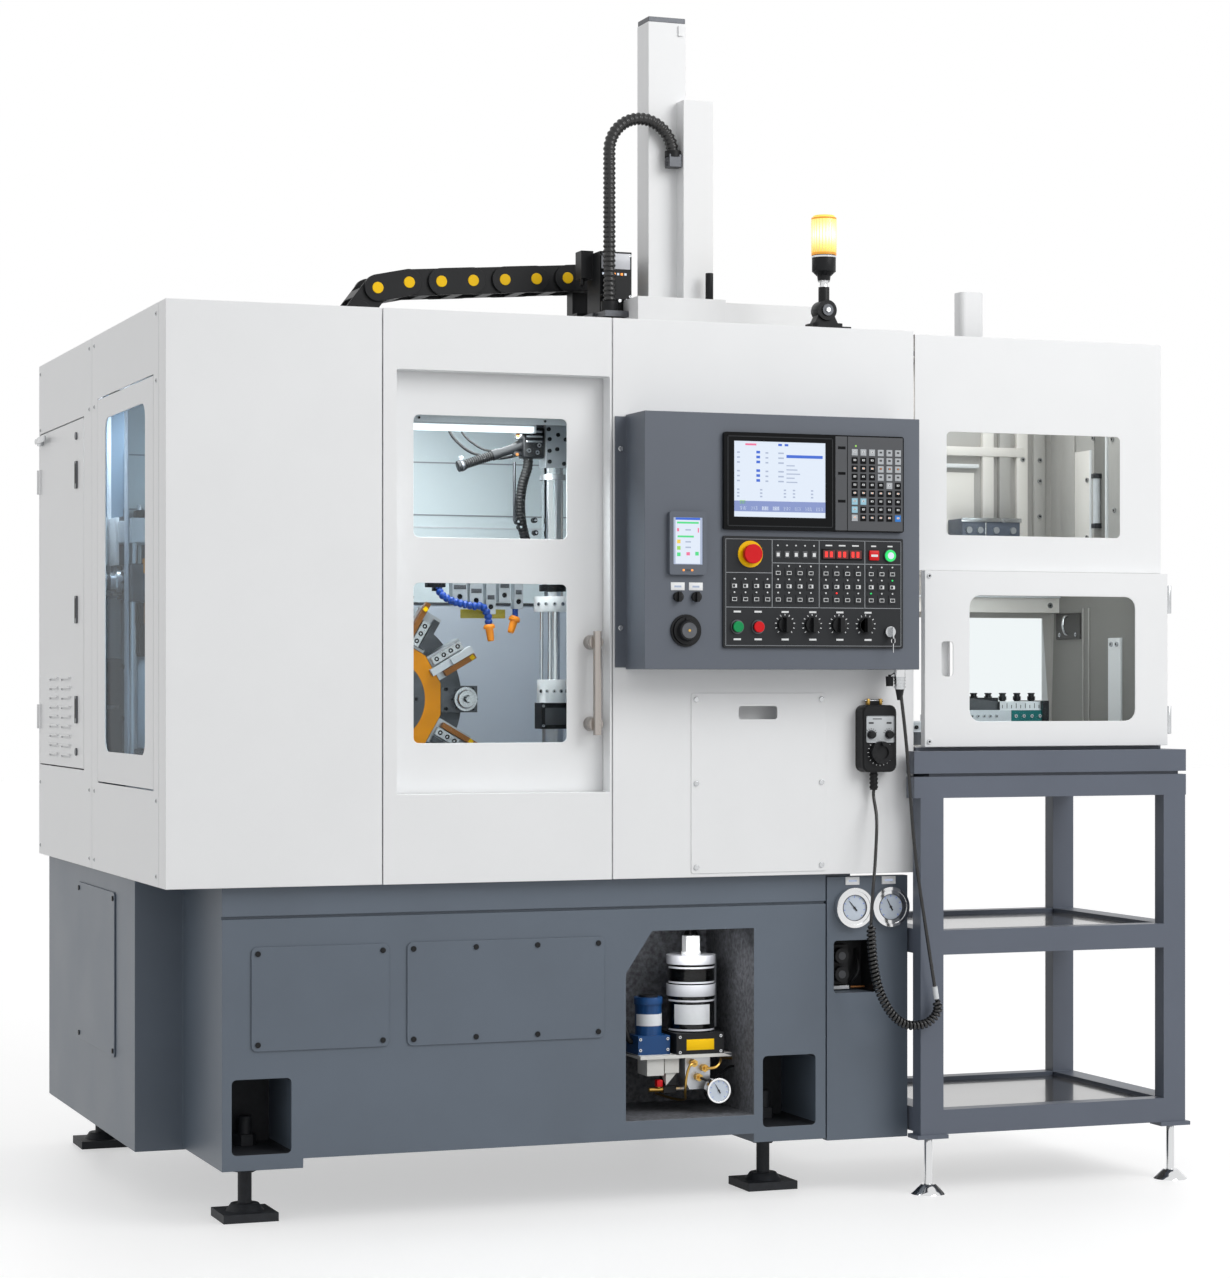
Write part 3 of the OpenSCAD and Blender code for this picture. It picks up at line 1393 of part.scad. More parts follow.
module turret_disc() {
    color("dimgray") {
        on_front(turret_x, turret_y + disc_t, axis_z) {
            cylinder(r = back_r, h = back_t);
            rotate(180 / stations) cylinder(r = turret_r, h = disc_t, $fn = stations);
        }
        on_front(turret_x, turret_y, axis_z) {
            cylinder(r = hub_r, h = ring_t + 2);
            for (k = [0:5]) rotate(60 * k) translate([hub_r - 22, 0, 0]) cylinder(r = 7, h = ring_t + 6);
            cylinder(r = hub_r / 3, h = ring_t + 8);
        }
    }
    color("orange") on_front(turret_x, turret_y, axis_z) difference() {
        rotate(180 / stations) cylinder(r = ring_r, h = ring_t, $fn = stations);
        translate([0, 0, -over]) cylinder(r = hub_r, h = ring_t + 2 * over);
    }
}

// Turning tool in a block, or a driven tool with its collet nut
module holder(k) {
    r = turret_r * cos(180 / stations);
    s = block_s / 2;
    top = disc_t;
    bar_h = 14;
    rotate(360 * k / stations) {
        translate([r, -s, back_t]) cube([block_l, block_s, top - back_t]);
        if (k % 3 == 0) translate([r + block_l - nut_r - 4, 0, top - over]) difference() {
            union() {
                cylinder(r = nut_r, h = 14);
                cylinder(r1 = nut_r, r2 = nut_r * 0.7, h = 22);
            }
            translate([0, 0, 8]) cylinder(r = nut_r * 0.35, h = 16);
        }
        if (k % 3 == 1) {
            screw_bar(r + 4, 8, 4, top, bar_h);
            translate([r + 6, -12, top - over]) cube([block_l, 16, ring_t + 2]);
            translate([r - 12, -12, top + ring_t + seat]) cube([block_l + 22, 16, 10]);
            translate([r + 40, -12, top + ring_t + 5]) cube([block_l - 30, 16, 12]);
            translate([r + 16, -s + 2, top - over]) cube([block_l - 4, 13, bar_h]);
        }
        if (k % 3 == 2) {
            screw_bar(r + 4, -9, 3, top, bar_h);
            translate([r + 10, 12, top - over]) cube([block_l + 6, 12, bar_h + 2]);
            translate([r + 6, -s + 2, top - over]) cube([block_l - 14, 15, bar_h - 4]);
        }
    }
}

// Clamping bar of a tool block with a row of screw holes
module screw_bar(x, y, n, z, h) {
    pitch = 19;
    difference() {
        translate([x, y, z - over]) cube([n * pitch + 2, 18, h + over]);
        for (i = [0:n - 1]) translate([x + pitch * (i + 0.5) + 1, y + 9, z + h - 6]) cylinder(r = 5.5, h = 7);
    }
}

module tool_holders() {
    color("silver") on_front(turret_x, turret_y + disc_t, axis_z) for (k = [0:stations - 1]) holder(k);
}

module chuck() {
    rear = liner_rear + 60;
    front = rear - chuck_y;
    bore_h = 50;
    jaws = [44, 26, 28];
    color("silver") on_front(chuck_x, rear, axis_z) {
        cylinder(r = spindle_r, h = front - chuck_l);
        translate([0, 0, front - chuck_l]) difference() {
            cylinder(r = chuck_r, h = chuck_l);
            translate([0, 0, chuck_l - bore_h]) cylinder(r = bore_r, h = bore_h + over);
        }
        for (k = [0:2]) rotate(120 * k + 90) translate([32, -jaws[1] / 2, front]) cube(jaws);
    }
}

// Push button or stop button, standing clear of its panel by its travel
module push(b, gap, h) {
    on_front(unit_x + b[0], oper_y - gap - press - play, oper_z + b[1]) cylinder(d = b[2], h = h);
    on_front(unit_x + b[0], oper_y - play + 1, oper_z + b[1]) cylinder(d = b[2] * 0.6, h = gap + press + 1);
}

module emergency_stop() {
    color("red") push(buttons[0], 2, 14);
}

module start_button() {
    color("green") push(buttons[1], 0, 6);
}

module stop_button() {
    color("red") push(buttons[2], 0, 6);
}

// Rotary switch with a raised grip bar
module rotary(i) {
    color("black") on_front(rotary_x[i], oper_y - play, knob_z) {
        cylinder(d = rotary_d, h = 8);
        translate([-5, -rotary_d / 2 + 1, 7]) cube([10, rotary_d - 2, rotary_h - 7 - play]);
    }
}

module rotary_1() {
    rotary(0);
}

module rotary_2() {
    rotary(1);
}

module rotary_3() {
    rotary(2);
}

module rotary_4() {
    rotary(3);
}

module key_switch() {
    color("silver") on_front(unit_x + 396, oper_y - play, oper_z + 37) {
        cylinder(d = 24, h = 8);
        translate([-1.5, -16, 7]) cube([3, 26, 15]);
    }
}

// Small selector switch with a grip bar
module selector(x) {
    color("black") on_front(touch_x + x, box_y - play, touch_z - 47) {
        cylinder(d = select_d, h = 8);
        translate([-3, -select_d / 2, 7]) cube([6, select_d, 9]);
    }
}

module selector_1() {
    selector(23);
}

module selector_2() {
    selector(65);
}

module power_switch() {
    color("dimgray") on_front(touch_x + 41, box_y - play, box_z + 83) {
        cylinder(d = power_d, h = 10);
        translate([0, 0, 9]) cylinder(d1 = power_d * 0.78, d2 = power_d * 0.68, h = 14);
        translate([-4, power_d * 0.3, 9]) cube([8, power_d * 0.16, 5]);
    }
}

translate([-mid_x, -mid_y, 0]) {
    bed();
    base_covers();
    hardware();
    leveling_feet();
    gauge_panel();
    gauges();
    lube_unit();
    lube_reservoir();
    front_left_panel();
    front_centre_frame();
    front_right_panel();
    access_cover();
    left_panels();
    fixed_windows();
    rear_shell();
    work_liner();
    work_light();
    hoses();
    guide_post();
    control_box();
    control_units();
    loader_cabinet();
    loader_stand();
    stocker();
    gantry_beam();
    signal_light();
    signal_lens();
    pendant();
    handwheel();
    pendant_cord();
    front_door();
    door_glass();
    door_handle();
    loader_door();
    loader_glass();
    cabinet_door();
    carriage_cover();
    carriage_drive();
    cable_chain();
    arm_hose();
    arm_column();
    arm_fittings();
    jaw_left();
    jaw_right();
    turret_saddle();
    turret_housing();
    turret_disc();
    tool_holders();
    chuck();
    emergency_stop();
    start_button();
    stop_button();
    rotary_1();
    rotary_2();
    rotary_3();
    rotary_4();
    key_switch();
    selector_1();
    selector_2();
    power_switch();
}
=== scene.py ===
"""Looks of a turn-mill center with a gantry loader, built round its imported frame.

Places are in millimetres from the front left corner of the enclosure at the floor, as in the part's source,
and at() turns them into the frame's metres.
"""

import math
from itertools import product

import bmesh
import bpy
from mathutils import Matrix, Vector


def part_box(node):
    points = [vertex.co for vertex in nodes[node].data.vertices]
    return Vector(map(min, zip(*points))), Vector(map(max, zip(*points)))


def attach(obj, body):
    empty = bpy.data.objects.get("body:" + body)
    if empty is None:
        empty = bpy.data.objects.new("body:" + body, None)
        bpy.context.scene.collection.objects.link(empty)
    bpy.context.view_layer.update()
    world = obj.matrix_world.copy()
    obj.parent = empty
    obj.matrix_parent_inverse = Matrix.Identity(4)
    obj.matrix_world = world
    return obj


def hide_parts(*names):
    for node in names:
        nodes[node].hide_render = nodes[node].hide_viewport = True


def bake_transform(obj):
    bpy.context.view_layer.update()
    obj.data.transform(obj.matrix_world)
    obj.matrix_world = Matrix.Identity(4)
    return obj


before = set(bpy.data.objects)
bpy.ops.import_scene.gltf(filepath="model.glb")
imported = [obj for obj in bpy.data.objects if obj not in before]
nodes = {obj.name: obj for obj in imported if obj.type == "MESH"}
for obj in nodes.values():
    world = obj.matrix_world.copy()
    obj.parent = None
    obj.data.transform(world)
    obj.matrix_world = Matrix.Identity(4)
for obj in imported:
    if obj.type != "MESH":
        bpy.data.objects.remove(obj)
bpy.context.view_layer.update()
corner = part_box("front_left_panel")[0]


def at(x, y, z):
    """A place in millimetres from the enclosure's front left corner, in the frame's metres."""
    return Vector((corner.x + x / 1000, corner.y + y / 1000, z / 1000))


def mm(spot):
    """A place of the frame in millimetres from the enclosure's front left corner."""
    return Vector(((spot.x - corner.x) * 1000, (spot.y - corner.y) * 1000, spot.z * 1000))


def span(node):
    """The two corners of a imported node's box, in millimetres."""
    return [mm(p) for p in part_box(node)]


# Camera: the view was solved from the machine's right-angled edges in a picture of 1230 by 1278 pixels
PHOTO_H = 1278
FOCAL_PX = 3100
HORIZON_PX = 684
YAW = 20.5
EYE = (-1372, -6320, 1145)
SENSOR = 36


def camera():
    """The camera at the photograph's place."""
    data = bpy.data.cameras.new("camera")
    data.sensor_width = SENSOR
    data.lens = SENSOR * FOCAL_PX / PHOTO_H
    data.shift_y = (HORIZON_PX - PHOTO_H / 2) / PHOTO_H
    eye = bpy.data.objects.new("camera", data)
    eye.location = at(*EYE)
    eye.rotation_euler = (math.radians(90), 0, math.radians(-YAW))
    bpy.context.scene.collection.objects.link(eye)
    bpy.context.scene.camera = eye


# Materials
UNLIT = 0.12
GRAIN_DEPTH = 0.001


def linear(red, green, blue):
    """The linear colour of a tone written from 0 to 255."""
    return tuple(((c / 255 + 0.055) / 1.055) ** 2.4 for c in (red, green, blue)) + (1.0,)


def fill(node, **values):
    """Sets inputs of a shader node, with an underscore for each space in an input's name."""
    for name, value in values.items():
        node.inputs[name.replace("_", " ")].default_value = value
    return node


def new_node(tree, kind, **values):
    """A new shader node of a kind, with some of its inputs set."""
    return fill(tree.nodes.new("ShaderNode" + kind), **values)


def new_material(name):
    """A material with its node tree and its Principled shader."""
    made = bpy.data.materials.new(name)
    made.use_nodes = True
    return made, made.node_tree, made.node_tree.nodes["Principled BSDF"]


def noise_of(tree, scale, detail=2.0, stretch=(1, 1, 1)):
    """Noise in the frame's metres, drawn out along the axes by stretch."""
    place = new_node(tree, "TexCoord")
    mapping = new_node(tree, "Mapping", Scale=stretch)
    noise = new_node(tree, "TexNoise", Scale=scale, Detail=detail)
    tree.links.new(place.outputs["Object"], mapping.inputs["Vector"])
    tree.links.new(mapping.outputs["Vector"], noise.inputs["Vector"])
    return noise


def surface(name, tone, rough, metal=0.0, mottle=0.05, size=5.0, grain=0.0, grain_size=700.0,
            coat=0.0, stretch=(1, 1, 1), shine=0.5):
    """Paint, plastic or metal: a tone with a faint mottle, uneven gloss and a fine grain."""
    made, tree, shader = new_material(name)
    fill(shader, Specular_IOR_Level=shine, Metallic=metal, Coat_Weight=coat)
    patches = noise_of(tree, size, 4.0, stretch)
    ramp = new_node(tree, "ValToRGB")
    base = linear(*tone)
    ramp.color_ramp.elements[0].position = 0.3
    ramp.color_ramp.elements[1].position = 0.7
    ramp.color_ramp.elements[0].color = tuple(c * (1 - mottle) for c in base[:3]) + (1.0,)
    ramp.color_ramp.elements[1].color = tuple(min(1.0, c * (1 + mottle)) for c in base[:3]) + (1.0,)
    tree.links.new(patches.outputs["Fac"], ramp.inputs["Fac"])
    tree.links.new(ramp.outputs["Color"], shader.inputs["Base Color"])
    gloss = new_node(tree, "MapRange", To_Min=rough * 0.85, To_Max=min(1.0, rough * 1.15))
    tree.links.new(patches.outputs["Fac"], gloss.inputs["Value"])
    tree.links.new(gloss.outputs["Result"], shader.inputs["Roughness"])
    if grain:
        fine = noise_of(tree, grain_size, 3.0, stretch)
        bump = new_node(tree, "Bump", Strength=grain, Distance=GRAIN_DEPTH)
        tree.links.new(fine.outputs["Fac"], bump.inputs["Height"])
        tree.links.new(bump.outputs["Normal"], shader.inputs["Normal"])
    return made


def glowing(name, tone, strength, rough=0.4):
    """A lit surface of one tone."""
    made, _, shader = new_material(name)
    dark = tuple(c * UNLIT for c in linear(*tone)[:3]) + (1.0,)
    fill(shader, Base_Color=dark, Roughness=rough, Emission_Color=linear(*tone), Emission_Strength=strength)
    return made


def lens(name, low, high, tones, strength):
    """A lit lens whose tone changes with its height, from low to high in metres."""
    made, tree, shader = new_material(name)
    fill(shader, Roughness=0.2, Emission_Strength=strength)
    place = new_node(tree, "TexCoord")
    split = new_node(tree, "SeparateXYZ")
    level = new_node(tree, "MapRange", From_Min=low, From_Max=high)
    ramp = new_node(tree, "ValToRGB")
    while len(ramp.color_ramp.elements) < len(tones):
        ramp.color_ramp.elements.new(0.5)
    for stop, (position, tone) in zip(ramp.color_ramp.elements, tones):
        stop.position = position
        stop.color = linear(*tone)
    tree.links.new(place.outputs["Object"], split.inputs[0])
    tree.links.new(split.outputs["Z"], level.inputs["Value"])
    tree.links.new(level.outputs["Result"], ramp.inputs["Fac"])
    tree.links.new(ramp.outputs["Color"], shader.inputs["Base Color"])
    tree.links.new(ramp.outputs["Color"], shader.inputs["Emission Color"])
    return made


def clear(name, tone, rough=0.02, index=1.12):
    """Glass or clear plastic that lets the lamps through."""
    made, tree, shader = new_material(name)
    fill(shader, Base_Color=linear(*tone), Roughness=rough, Transmission_Weight=1.0, IOR=index)
    path = new_node(tree, "LightPath")
    through = new_node(tree, "BsdfTransparent", Color=linear(*tone))
    mix = new_node(tree, "MixShader")
    tree.links.new(path.outputs["Is Shadow Ray"], mix.inputs[0])
    tree.links.new(shader.outputs["BSDF"], mix.inputs[1])
    tree.links.new(through.outputs["BSDF"], mix.inputs[2])
    tree.links.new(mix.outputs["Shader"], tree.nodes["Material Output"].inputs["Surface"])
    return made


WHITE = surface("white_paint", (238, 239, 240), 0.36, mottle=0.012, grain=0.05)
GREY = surface("base_paint", (92, 102, 114), 0.42, mottle=0.05, grain=0.12, grain_size=420)
STAND = surface("stand_paint", (90, 97, 110), 0.38, mottle=0.04, grain=0.08)
BOX = surface("box_paint", (94, 100, 110), 0.42, mottle=0.03, grain=0.1, shine=0.4)
LINER = surface("liner_paint", (200, 207, 217), 0.3, mottle=0.03, size=3, grain=0.03)
LINER_TOP = surface("liner_upper", (222, 232, 234), 0.3, mottle=0.02, size=3, grain=0.03)
CAST_BLACK = surface("cast_black", (40, 42, 46), 0.6, mottle=0.25, size=60, grain=0.6, grain_size=260,
                     shine=0.3)
PLASTIC = surface("black_plastic", (24, 25, 27), 0.42, mottle=0.1, grain=0.12, shine=0.22)
RUBBER = surface("black_rubber", (20, 20, 21), 0.5, mottle=0.1, grain=0.1, shine=0.25)
PANEL = surface("panel_black", (34, 36, 39), 0.5, mottle=0.05, grain=0.15, shine=0.25)
KEYS = surface("key_plastic", (58, 60, 64), 0.45, mottle=0.05)
PALE_KEY = surface("pale_key", (176, 180, 184), 0.45, mottle=0.04)
MARK = surface("pale_mark", (225, 227, 228), 0.5, mottle=0.03)
STEEL = surface("steel", (196, 198, 200), 0.26, metal=1.0, mottle=0.06, size=30, grain=0.05)
BRUSHED = surface("brushed_steel", (205, 206, 208), 0.3, metal=1.0, mottle=0.08, size=40, grain=0.08,
                  grain_size=300, stretch=(1, 1, 0.05))
HANDLE = surface("handle_steel", (168, 162, 157), 0.28, metal=1.0, mottle=0.1, size=40, grain=0.08,
                 grain_size=300, stretch=(1, 1, 0.05))
CHROME = surface("chrome", (220, 221, 222), 0.09, metal=1.0, mottle=0.02)
DARK_STEEL = surface("dark_steel", (88, 90, 94), 0.38, metal=0.9, mottle=0.15, size=40, grain=0.1)
TRAY = surface("tray_steel", (70, 69, 70), 0.2, metal=0.55, mottle=0.2, size=9, grain=0.03, coat=0.5)
ALU = surface("aluminium", (186, 189, 193), 0.4, metal=0.85, mottle=0.06, size=20, grain=0.05)
BRASS = surface("brass", (196, 158, 84), 0.3, metal=1.0, mottle=0.06)
ORANGE = surface("ring_orange", (228, 144, 14), 0.4, mottle=0.08, size=18, grain=0.1, shine=0.25)
YELLOW = surface("cap_yellow", (250, 200, 6), 0.4, mottle=0.04, shine=0.2)
BLUE = surface("hose_blue", (24, 70, 160), 0.3, mottle=0.08)
NOZZLE = surface("nozzle_orange", (250, 146, 22), 0.4, mottle=0.05)
RED = surface("red_plastic", (214, 14, 24), 0.3, mottle=0.05, shine=0.25)
GREEN = surface("green_plastic", (10, 146, 82), 0.3, mottle=0.05, shine=0.25)
TEAL = surface("teal_plastic", (10, 88, 88), 0.4, mottle=0.08, shine=0.25)
PLATE = surface("pendant_plate", (196, 200, 203), 0.45, mottle=0.03)
DIAL = surface("dial_white", (242, 243, 244), 0.5, mottle=0.01)
PALE_DIAL = surface("dial_blue", (206, 216, 228), 0.5, mottle=0.03, size=60)
SKY_KEY = surface("sky_key", (150, 196, 214), 0.45, mottle=0.04)
BLUE_KEY = surface("blue_key", (30, 120, 205), 0.45, mottle=0.04)
BEZEL = surface("bezel_black", (12, 13, 15), 0.2, mottle=0.08, shine=0.12)
CORD = surface("cord_black", (13, 13, 14), 0.24, mottle=0.08, shine=0.6)
DISC = surface("chain_disc", (64, 64, 69), 0.4, mottle=0.08, shine=0.3)
# Painted light: the lubrication bay's walls are charcoal, and this mid grey stands in for the light that
# reaches into the bay
BAY_PAINTED_LIGHT = surface("bay_black_painted_light", (104, 106, 111), 0.55, mottle=0.45, size=110, grain=0.9, grain_size=200, shine=0.3)
BAND_GREY = surface("band_grey", (206, 208, 214), 0.25, mottle=0.05)
VALVE = surface("valve_grey", (216, 216, 212), 0.45, mottle=0.03)
KEYPAD = surface("keypad_grey", (66, 68, 72), 0.5, mottle=0.04, grain=0.12)
LINE = surface("panel_line", (150, 154, 158), 0.5, mottle=0.03)
BRONZE = surface("shank_bronze", (150, 98, 52), 0.4, metal=0.6, mottle=0.12, size=30, grain=0.1)
OLIVE = surface("olive_block", (186, 170, 62), 0.45, mottle=0.08, size=20)
NAVY = surface("motor_navy", (22, 66, 116), 0.36, mottle=0.08, grain=0.1, shine=0.3)
PALE = surface("pale_plate", (214, 217, 220), 0.5, mottle=0.03, size=60)
WALL = surface("cabinet_inside", (184, 181, 177), 0.45, mottle=0.03, grain=0.05)
# Painted shade: a darker copy of the cabinet's inside paint, for the shaded right wall inside the loader
SHADED_WALL = surface("cabinet_shade", (136, 134, 130), 0.45, mottle=0.04, grain=0.05, shine=0.3)
HOOK_PLATE = surface("hook_plate", (72, 70, 68), 0.4, mottle=0.06, grain=0.05, shine=0.3)
WARM = surface("warm_plate", (240, 235, 229), 0.45, mottle=0.02)
INNER_BLUE = surface("inner_blue", (112, 130, 146), 0.35, mottle=0.05, size=4, grain=0.04)
INNER_DARK = surface("inner_dark", (52, 70, 88), 0.3, mottle=0.08, size=4, grain=0.04)
INNER_PALE = surface("inner_pale", (178, 192, 204), 0.35, mottle=0.04, size=4, grain=0.04)
SCREEN = glowing("screen_white", (226, 236, 250), 0.84)
SCREEN_BLUE = glowing("screen_blue", (40, 96, 206), 0.9)
SCREEN_BAND = glowing("screen_band", (128, 144, 196), 0.9)
SCREEN_GREY = glowing("screen_grey", (168, 180, 204), 0.9)
SCREEN_LIME = glowing("screen_lime", (150, 214, 90), 0.9)
SCREEN_GREEN = glowing("screen_green", (70, 216, 130), 0.9)
SCREEN_PINK = glowing("screen_pink", (236, 110, 150), 0.9)
SCREEN_YELLOW = glowing("screen_yellow", (238, 200, 70), 0.9)
LED_RED = glowing("led_red", (255, 40, 34), 1.6)
LED_DARK = glowing("led_dark", (120, 14, 12), 0.4)
LED_GREEN = glowing("led_green", (24, 214, 104), 1.1)
LED_AMBER = glowing("led_amber", (255, 150, 60), 1.6)
GLASS = clear("window_glass", (240, 246, 247), index=1.06)
TINTED = clear("tinted_glass", (196, 214, 226), index=1.04)
SMOKE = clear("smoked_plastic", (120, 124, 126), 0.08, 1.4)
LIGHT = glowing("light_bar", (246, 252, 255), 1.4)
lens_low, lens_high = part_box("signal_lens")
AMBER = lens("amber_lens", lens_low.z, lens_high.z,
             [(0.0, (255, 160, 44)), (0.22, (255, 214, 120)), (0.5, (255, 250, 226)), (0.8, (255, 226, 140)),
              (1.0, (250, 178, 60))], 0.9)
LENS_RIM = glowing("lens_rim", (255, 178, 60), 0.7)
LENS_RIB = glowing("lens_rib", (255, 226, 150), 0.8)


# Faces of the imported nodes
def within(low, high):
    """A test for points inside a box, its corners in millimetres."""
    a, b = at(*low), at(*high)
    return lambda p: all(a[i] <= p[i] <= b[i] for i in range(3))


def paint(node, base, *parts):
    """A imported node's finish, and other finishes for the faces that pass a test."""
    mesh = nodes[node].data
    mesh.materials.clear()
    for finish in [base] + [p[0] for p in parts]:
        mesh.materials.append(finish)
    for face in mesh.polygons:
        hits = [i + 1 for i, p in enumerate(parts) if p[1](face.center)]
        face.material_index = hits[0] if hits else 0


def soften(node, width=1.2, turn=35):
    """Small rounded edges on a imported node."""
    shown = nodes[node]
    weld = shown.modifiers.new("weld", "WELD")
    weld.merge_threshold = 0.00001
    flat = shown.modifiers.new("flat", "DECIMATE")
    flat.decimate_type = "DISSOLVE"
    flat.angle_limit = math.radians(0.5)
    flat.delimit = {"MATERIAL"}
    bevel = shown.modifiers.new("edges", "BEVEL")
    bevel.width = width / 1000
    bevel.segments = 2
    bevel.limit_method = "ANGLE"
    bevel.angle_limit = math.radians(turn)
    bevel.harden_normals = True


FAR = 9000
ROTARIES = ("rotary_1", "rotary_2", "rotary_3", "rotary_4")
SELECTORS = ("selector_1", "selector_2")


def dress_nodes():
    """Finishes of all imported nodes."""
    for node in ("front_left_panel", "front_centre_frame", "front_right_panel", "access_cover", "left_panels",
                 "rear_shell", "carriage_cover", "front_door", "loader_door", "arm_column"):
        paint(node, WHITE)
    for node in ("base_covers", "turret_housing"):
        paint(node, GREY)
    # painted light: the lubrication bay's walls take a grey lighter than their charcoal
    paint("bed", GREY, (BAY_PAINTED_LIGHT, within((1027, 31, 186), (1333, 400, 603))),
          (CAST_BLACK, within((148, 31, 150), (274, 400, 315))),
          (CAST_BLACK, within((1355, 31, 150), (1481, 400, 315))))
    paint("hardware", STEEL, (PLASTIC, within((-FAR, -FAR, 0), (1600, FAR, 715))))
    paint("leveling_feet", CAST_BLACK, (CHROME, within((1690, -FAR, 0), (FAR, FAR, 400))))
    paint("gauge_panel", GREY, (PLASTIC, within((1527, 31, 450), (1632, 200, 569))))
    paint("gauges", CHROME, (PLASTIC, within((1500, -FAR, 440), (1720, FAR, 580))))
    paint("lube_unit", DARK_STEEL, (NAVY, within((1085, 110, 320), (1169, 200, 446))),
          (PLASTIC, within((1172, 95, 320), (1290, 214, 366))),
          (CHROME, within((1230, 60, 200), (1300, 95, 270))),
          (BRASS, within((1195, 99, 230), (1262, 108.5, 308))),
          (ALU, within((1195, 108, 230), (1262, 160, 311))),
          (BRASS, within((1120, 128, 230), (1290, 142, 248))),
          (PLASTIC, within((1140, 100, 230), (1190, 180, 262))),
          (VALVE, within((1100, 100, 230), (1190, 180, 311))),
          (VALVE, within((1080, 90, 310.5), (1300, 230, 320.5))),
          (DIAL, within((1205, 130, 537.5), (1260, 180, 600))),
          (BAND_GREY, within((1170, 90, 440), (1284, 215, 537.4))))
    paint("lube_reservoir", SMOKE)
    for node in ("fixed_windows", "door_glass", "loader_glass"):
        paint(node, GLASS, (TINTED, within((-FAR, -FAR, 0), (30, FAR, FAR))))
    paint("work_liner", LINER)
    for node in ("work_light", "turret_saddle"):
        paint(node, ALU)
    paint("guide_post", ALU, (PLASTIC, within((888, 190, 1044), (960, 250, 1102.5))),
          (WHITE, within((880, 170, 1102.6), (970, 265, 1155.5))),
          (WHITE, within((880, 170, 1305.5), (970, 265, 1340.5))),
          (CHROME, within((890, 190, 1155.6), (960, 250, 1305.4))),
          (CHROME, within((899, 190, 1341), (960, 250, 1626))),
          (BRUSHED, within((890, 170, 800), (970, 265, 1044))))
    paint("control_box", BOX)
    # Painted light: the first white strip, at the rear right corner of the lower bay, is lighter than the walls
    # beside it, as if lit from behind
    paint("loader_cabinet", WHITE, (WHITE, within((2300, 520, 1001.5), (2348.5, 532, 1310))),
          (WARM, within((1720, 483, 1320), (2345, 509, 1358))),
          (WHITE, within((2340, 173, 1002), (2345, 236, 1256))),
          (HOOK_PLATE, within((2340, 371, 1254), (2345, 493, 1320))),
          # painted shade on the right wall of the loader's lower bay
          (SHADED_WALL, within((2341, 1, 1001.5), (2348.5, 529.5, 1402))),
          (WALL, within((1713, 1, 1001.5), (2348.5, 529.5, 1934))))
    paint("loader_stand", STAND, (TRAY, within((1772, -19, 174), (2320, 469, 180))),
          (TRAY, within((1772, -19, 577), (2320, 469, 583))))
    paint("stocker", ALU, (PLASTIC, within((1900, 140, 1104.5), (2140, 300, 1125))),
          (TEAL, within((2038, 150, 1056), (2124, 290, 1083.5))),
          (KEYS, within((1920, 150, 1083.5), (2012, 290, 1115))),
          (PLASTIC, within((2117, 140, 1033), (2138, 290, 1108))),
          (BRUSHED, within((2009, 150, 1083), (2125, 290, 1105))),
          (DARK_STEEL, within((1700, 140, 1000), (FAR, 500, 1033))))
    paint("gantry_beam", DARK_STEEL)
    paint("signal_light", PLASTIC, (CHROME, within((1480, 20, 2039), (1560, 100, 2053))))
    paint("signal_lens", AMBER)
    paint("door_handle", HANDLE)
    paint("cabinet_door", WHITE, (DARK_STEEL, within((-FAR, 960, 940), (-0.5, 990, FAR))))
    paint("carriage_drive", PLASTIC, (KEYPAD, within((1080, 340, 2137), (1166, 440, 2140))),
          (DARK_STEEL, within((1000, 300, 1949), (1400, 470, 2021))))
    paint("cable_chain", PLASTIC, (YELLOW, within((-FAR, 556, 0), (FAR, 559.9, FAR))),
          (YELLOW, within((-FAR, 660.1, 0), (FAR, 664, FAR))))
    paint("arm_fittings", DARK_STEEL, (ALU, within((1100, 300, 1500), (1400, 480, 1639))),
          (WHITE, within((1100, 300, 2600), (1400, 480, 2673.5))))
    for node in ("jaw_left", "jaw_right", "key_switch", "chuck"):
        paint(node, STEEL)
    dress_turret()
    dress_controls()
    for node in ("emergency_stop", "stop_button"):
        paint(node, RED)
    paint("start_button", GREEN)
    for node in ROTARIES + SELECTORS + ("power_switch", "pendant", "handwheel"):
        paint(node, PLASTIC)


# Turret: the stations are counted from its axis, as in the part's source
disc_low, disc_high = span("turret_disc")
TURRET = Vector(((disc_low.x + disc_high.x) / 2, disc_high.y, (disc_low.z + disc_high.z) / 2))
STATIONS = 12
HEAD_T = 60
HEAD_R = 141 * math.cos(math.pi / STATIONS)
HUB_R = 96


def on_holder(spot):
    """The kind of tool holder nearest to a place, and the place along, across and in front of it."""
    way = mm(spot) - TURRET
    turn = math.atan2(way.z, way.x)
    k = round(turn * STATIONS / (2 * math.pi))
    turn -= 2 * math.pi * k / STATIONS
    r = math.hypot(way.x, way.z)
    return k % STATIONS % 3, r * math.cos(turn), r * math.sin(turn), -way.y


def holder_place(k, along, across, height):
    """A place on tool holder k in millimetres."""
    turn = 2 * math.pi * k / STATIONS
    return (TURRET.x + along * math.cos(turn) - across * math.sin(turn), TURRET.y - height,
            TURRET.z + along * math.sin(turn) + across * math.cos(turn))


def holder_faces(kind, low, high, front):
    """A test for faces of one kind of holder between two offsets, on its block or in front of it."""
    def passes(spot):
        found, _, across, height = on_holder(spot)
        return found == kind and low <= across <= high and (height > HEAD_T + 0.5) == front
    return passes


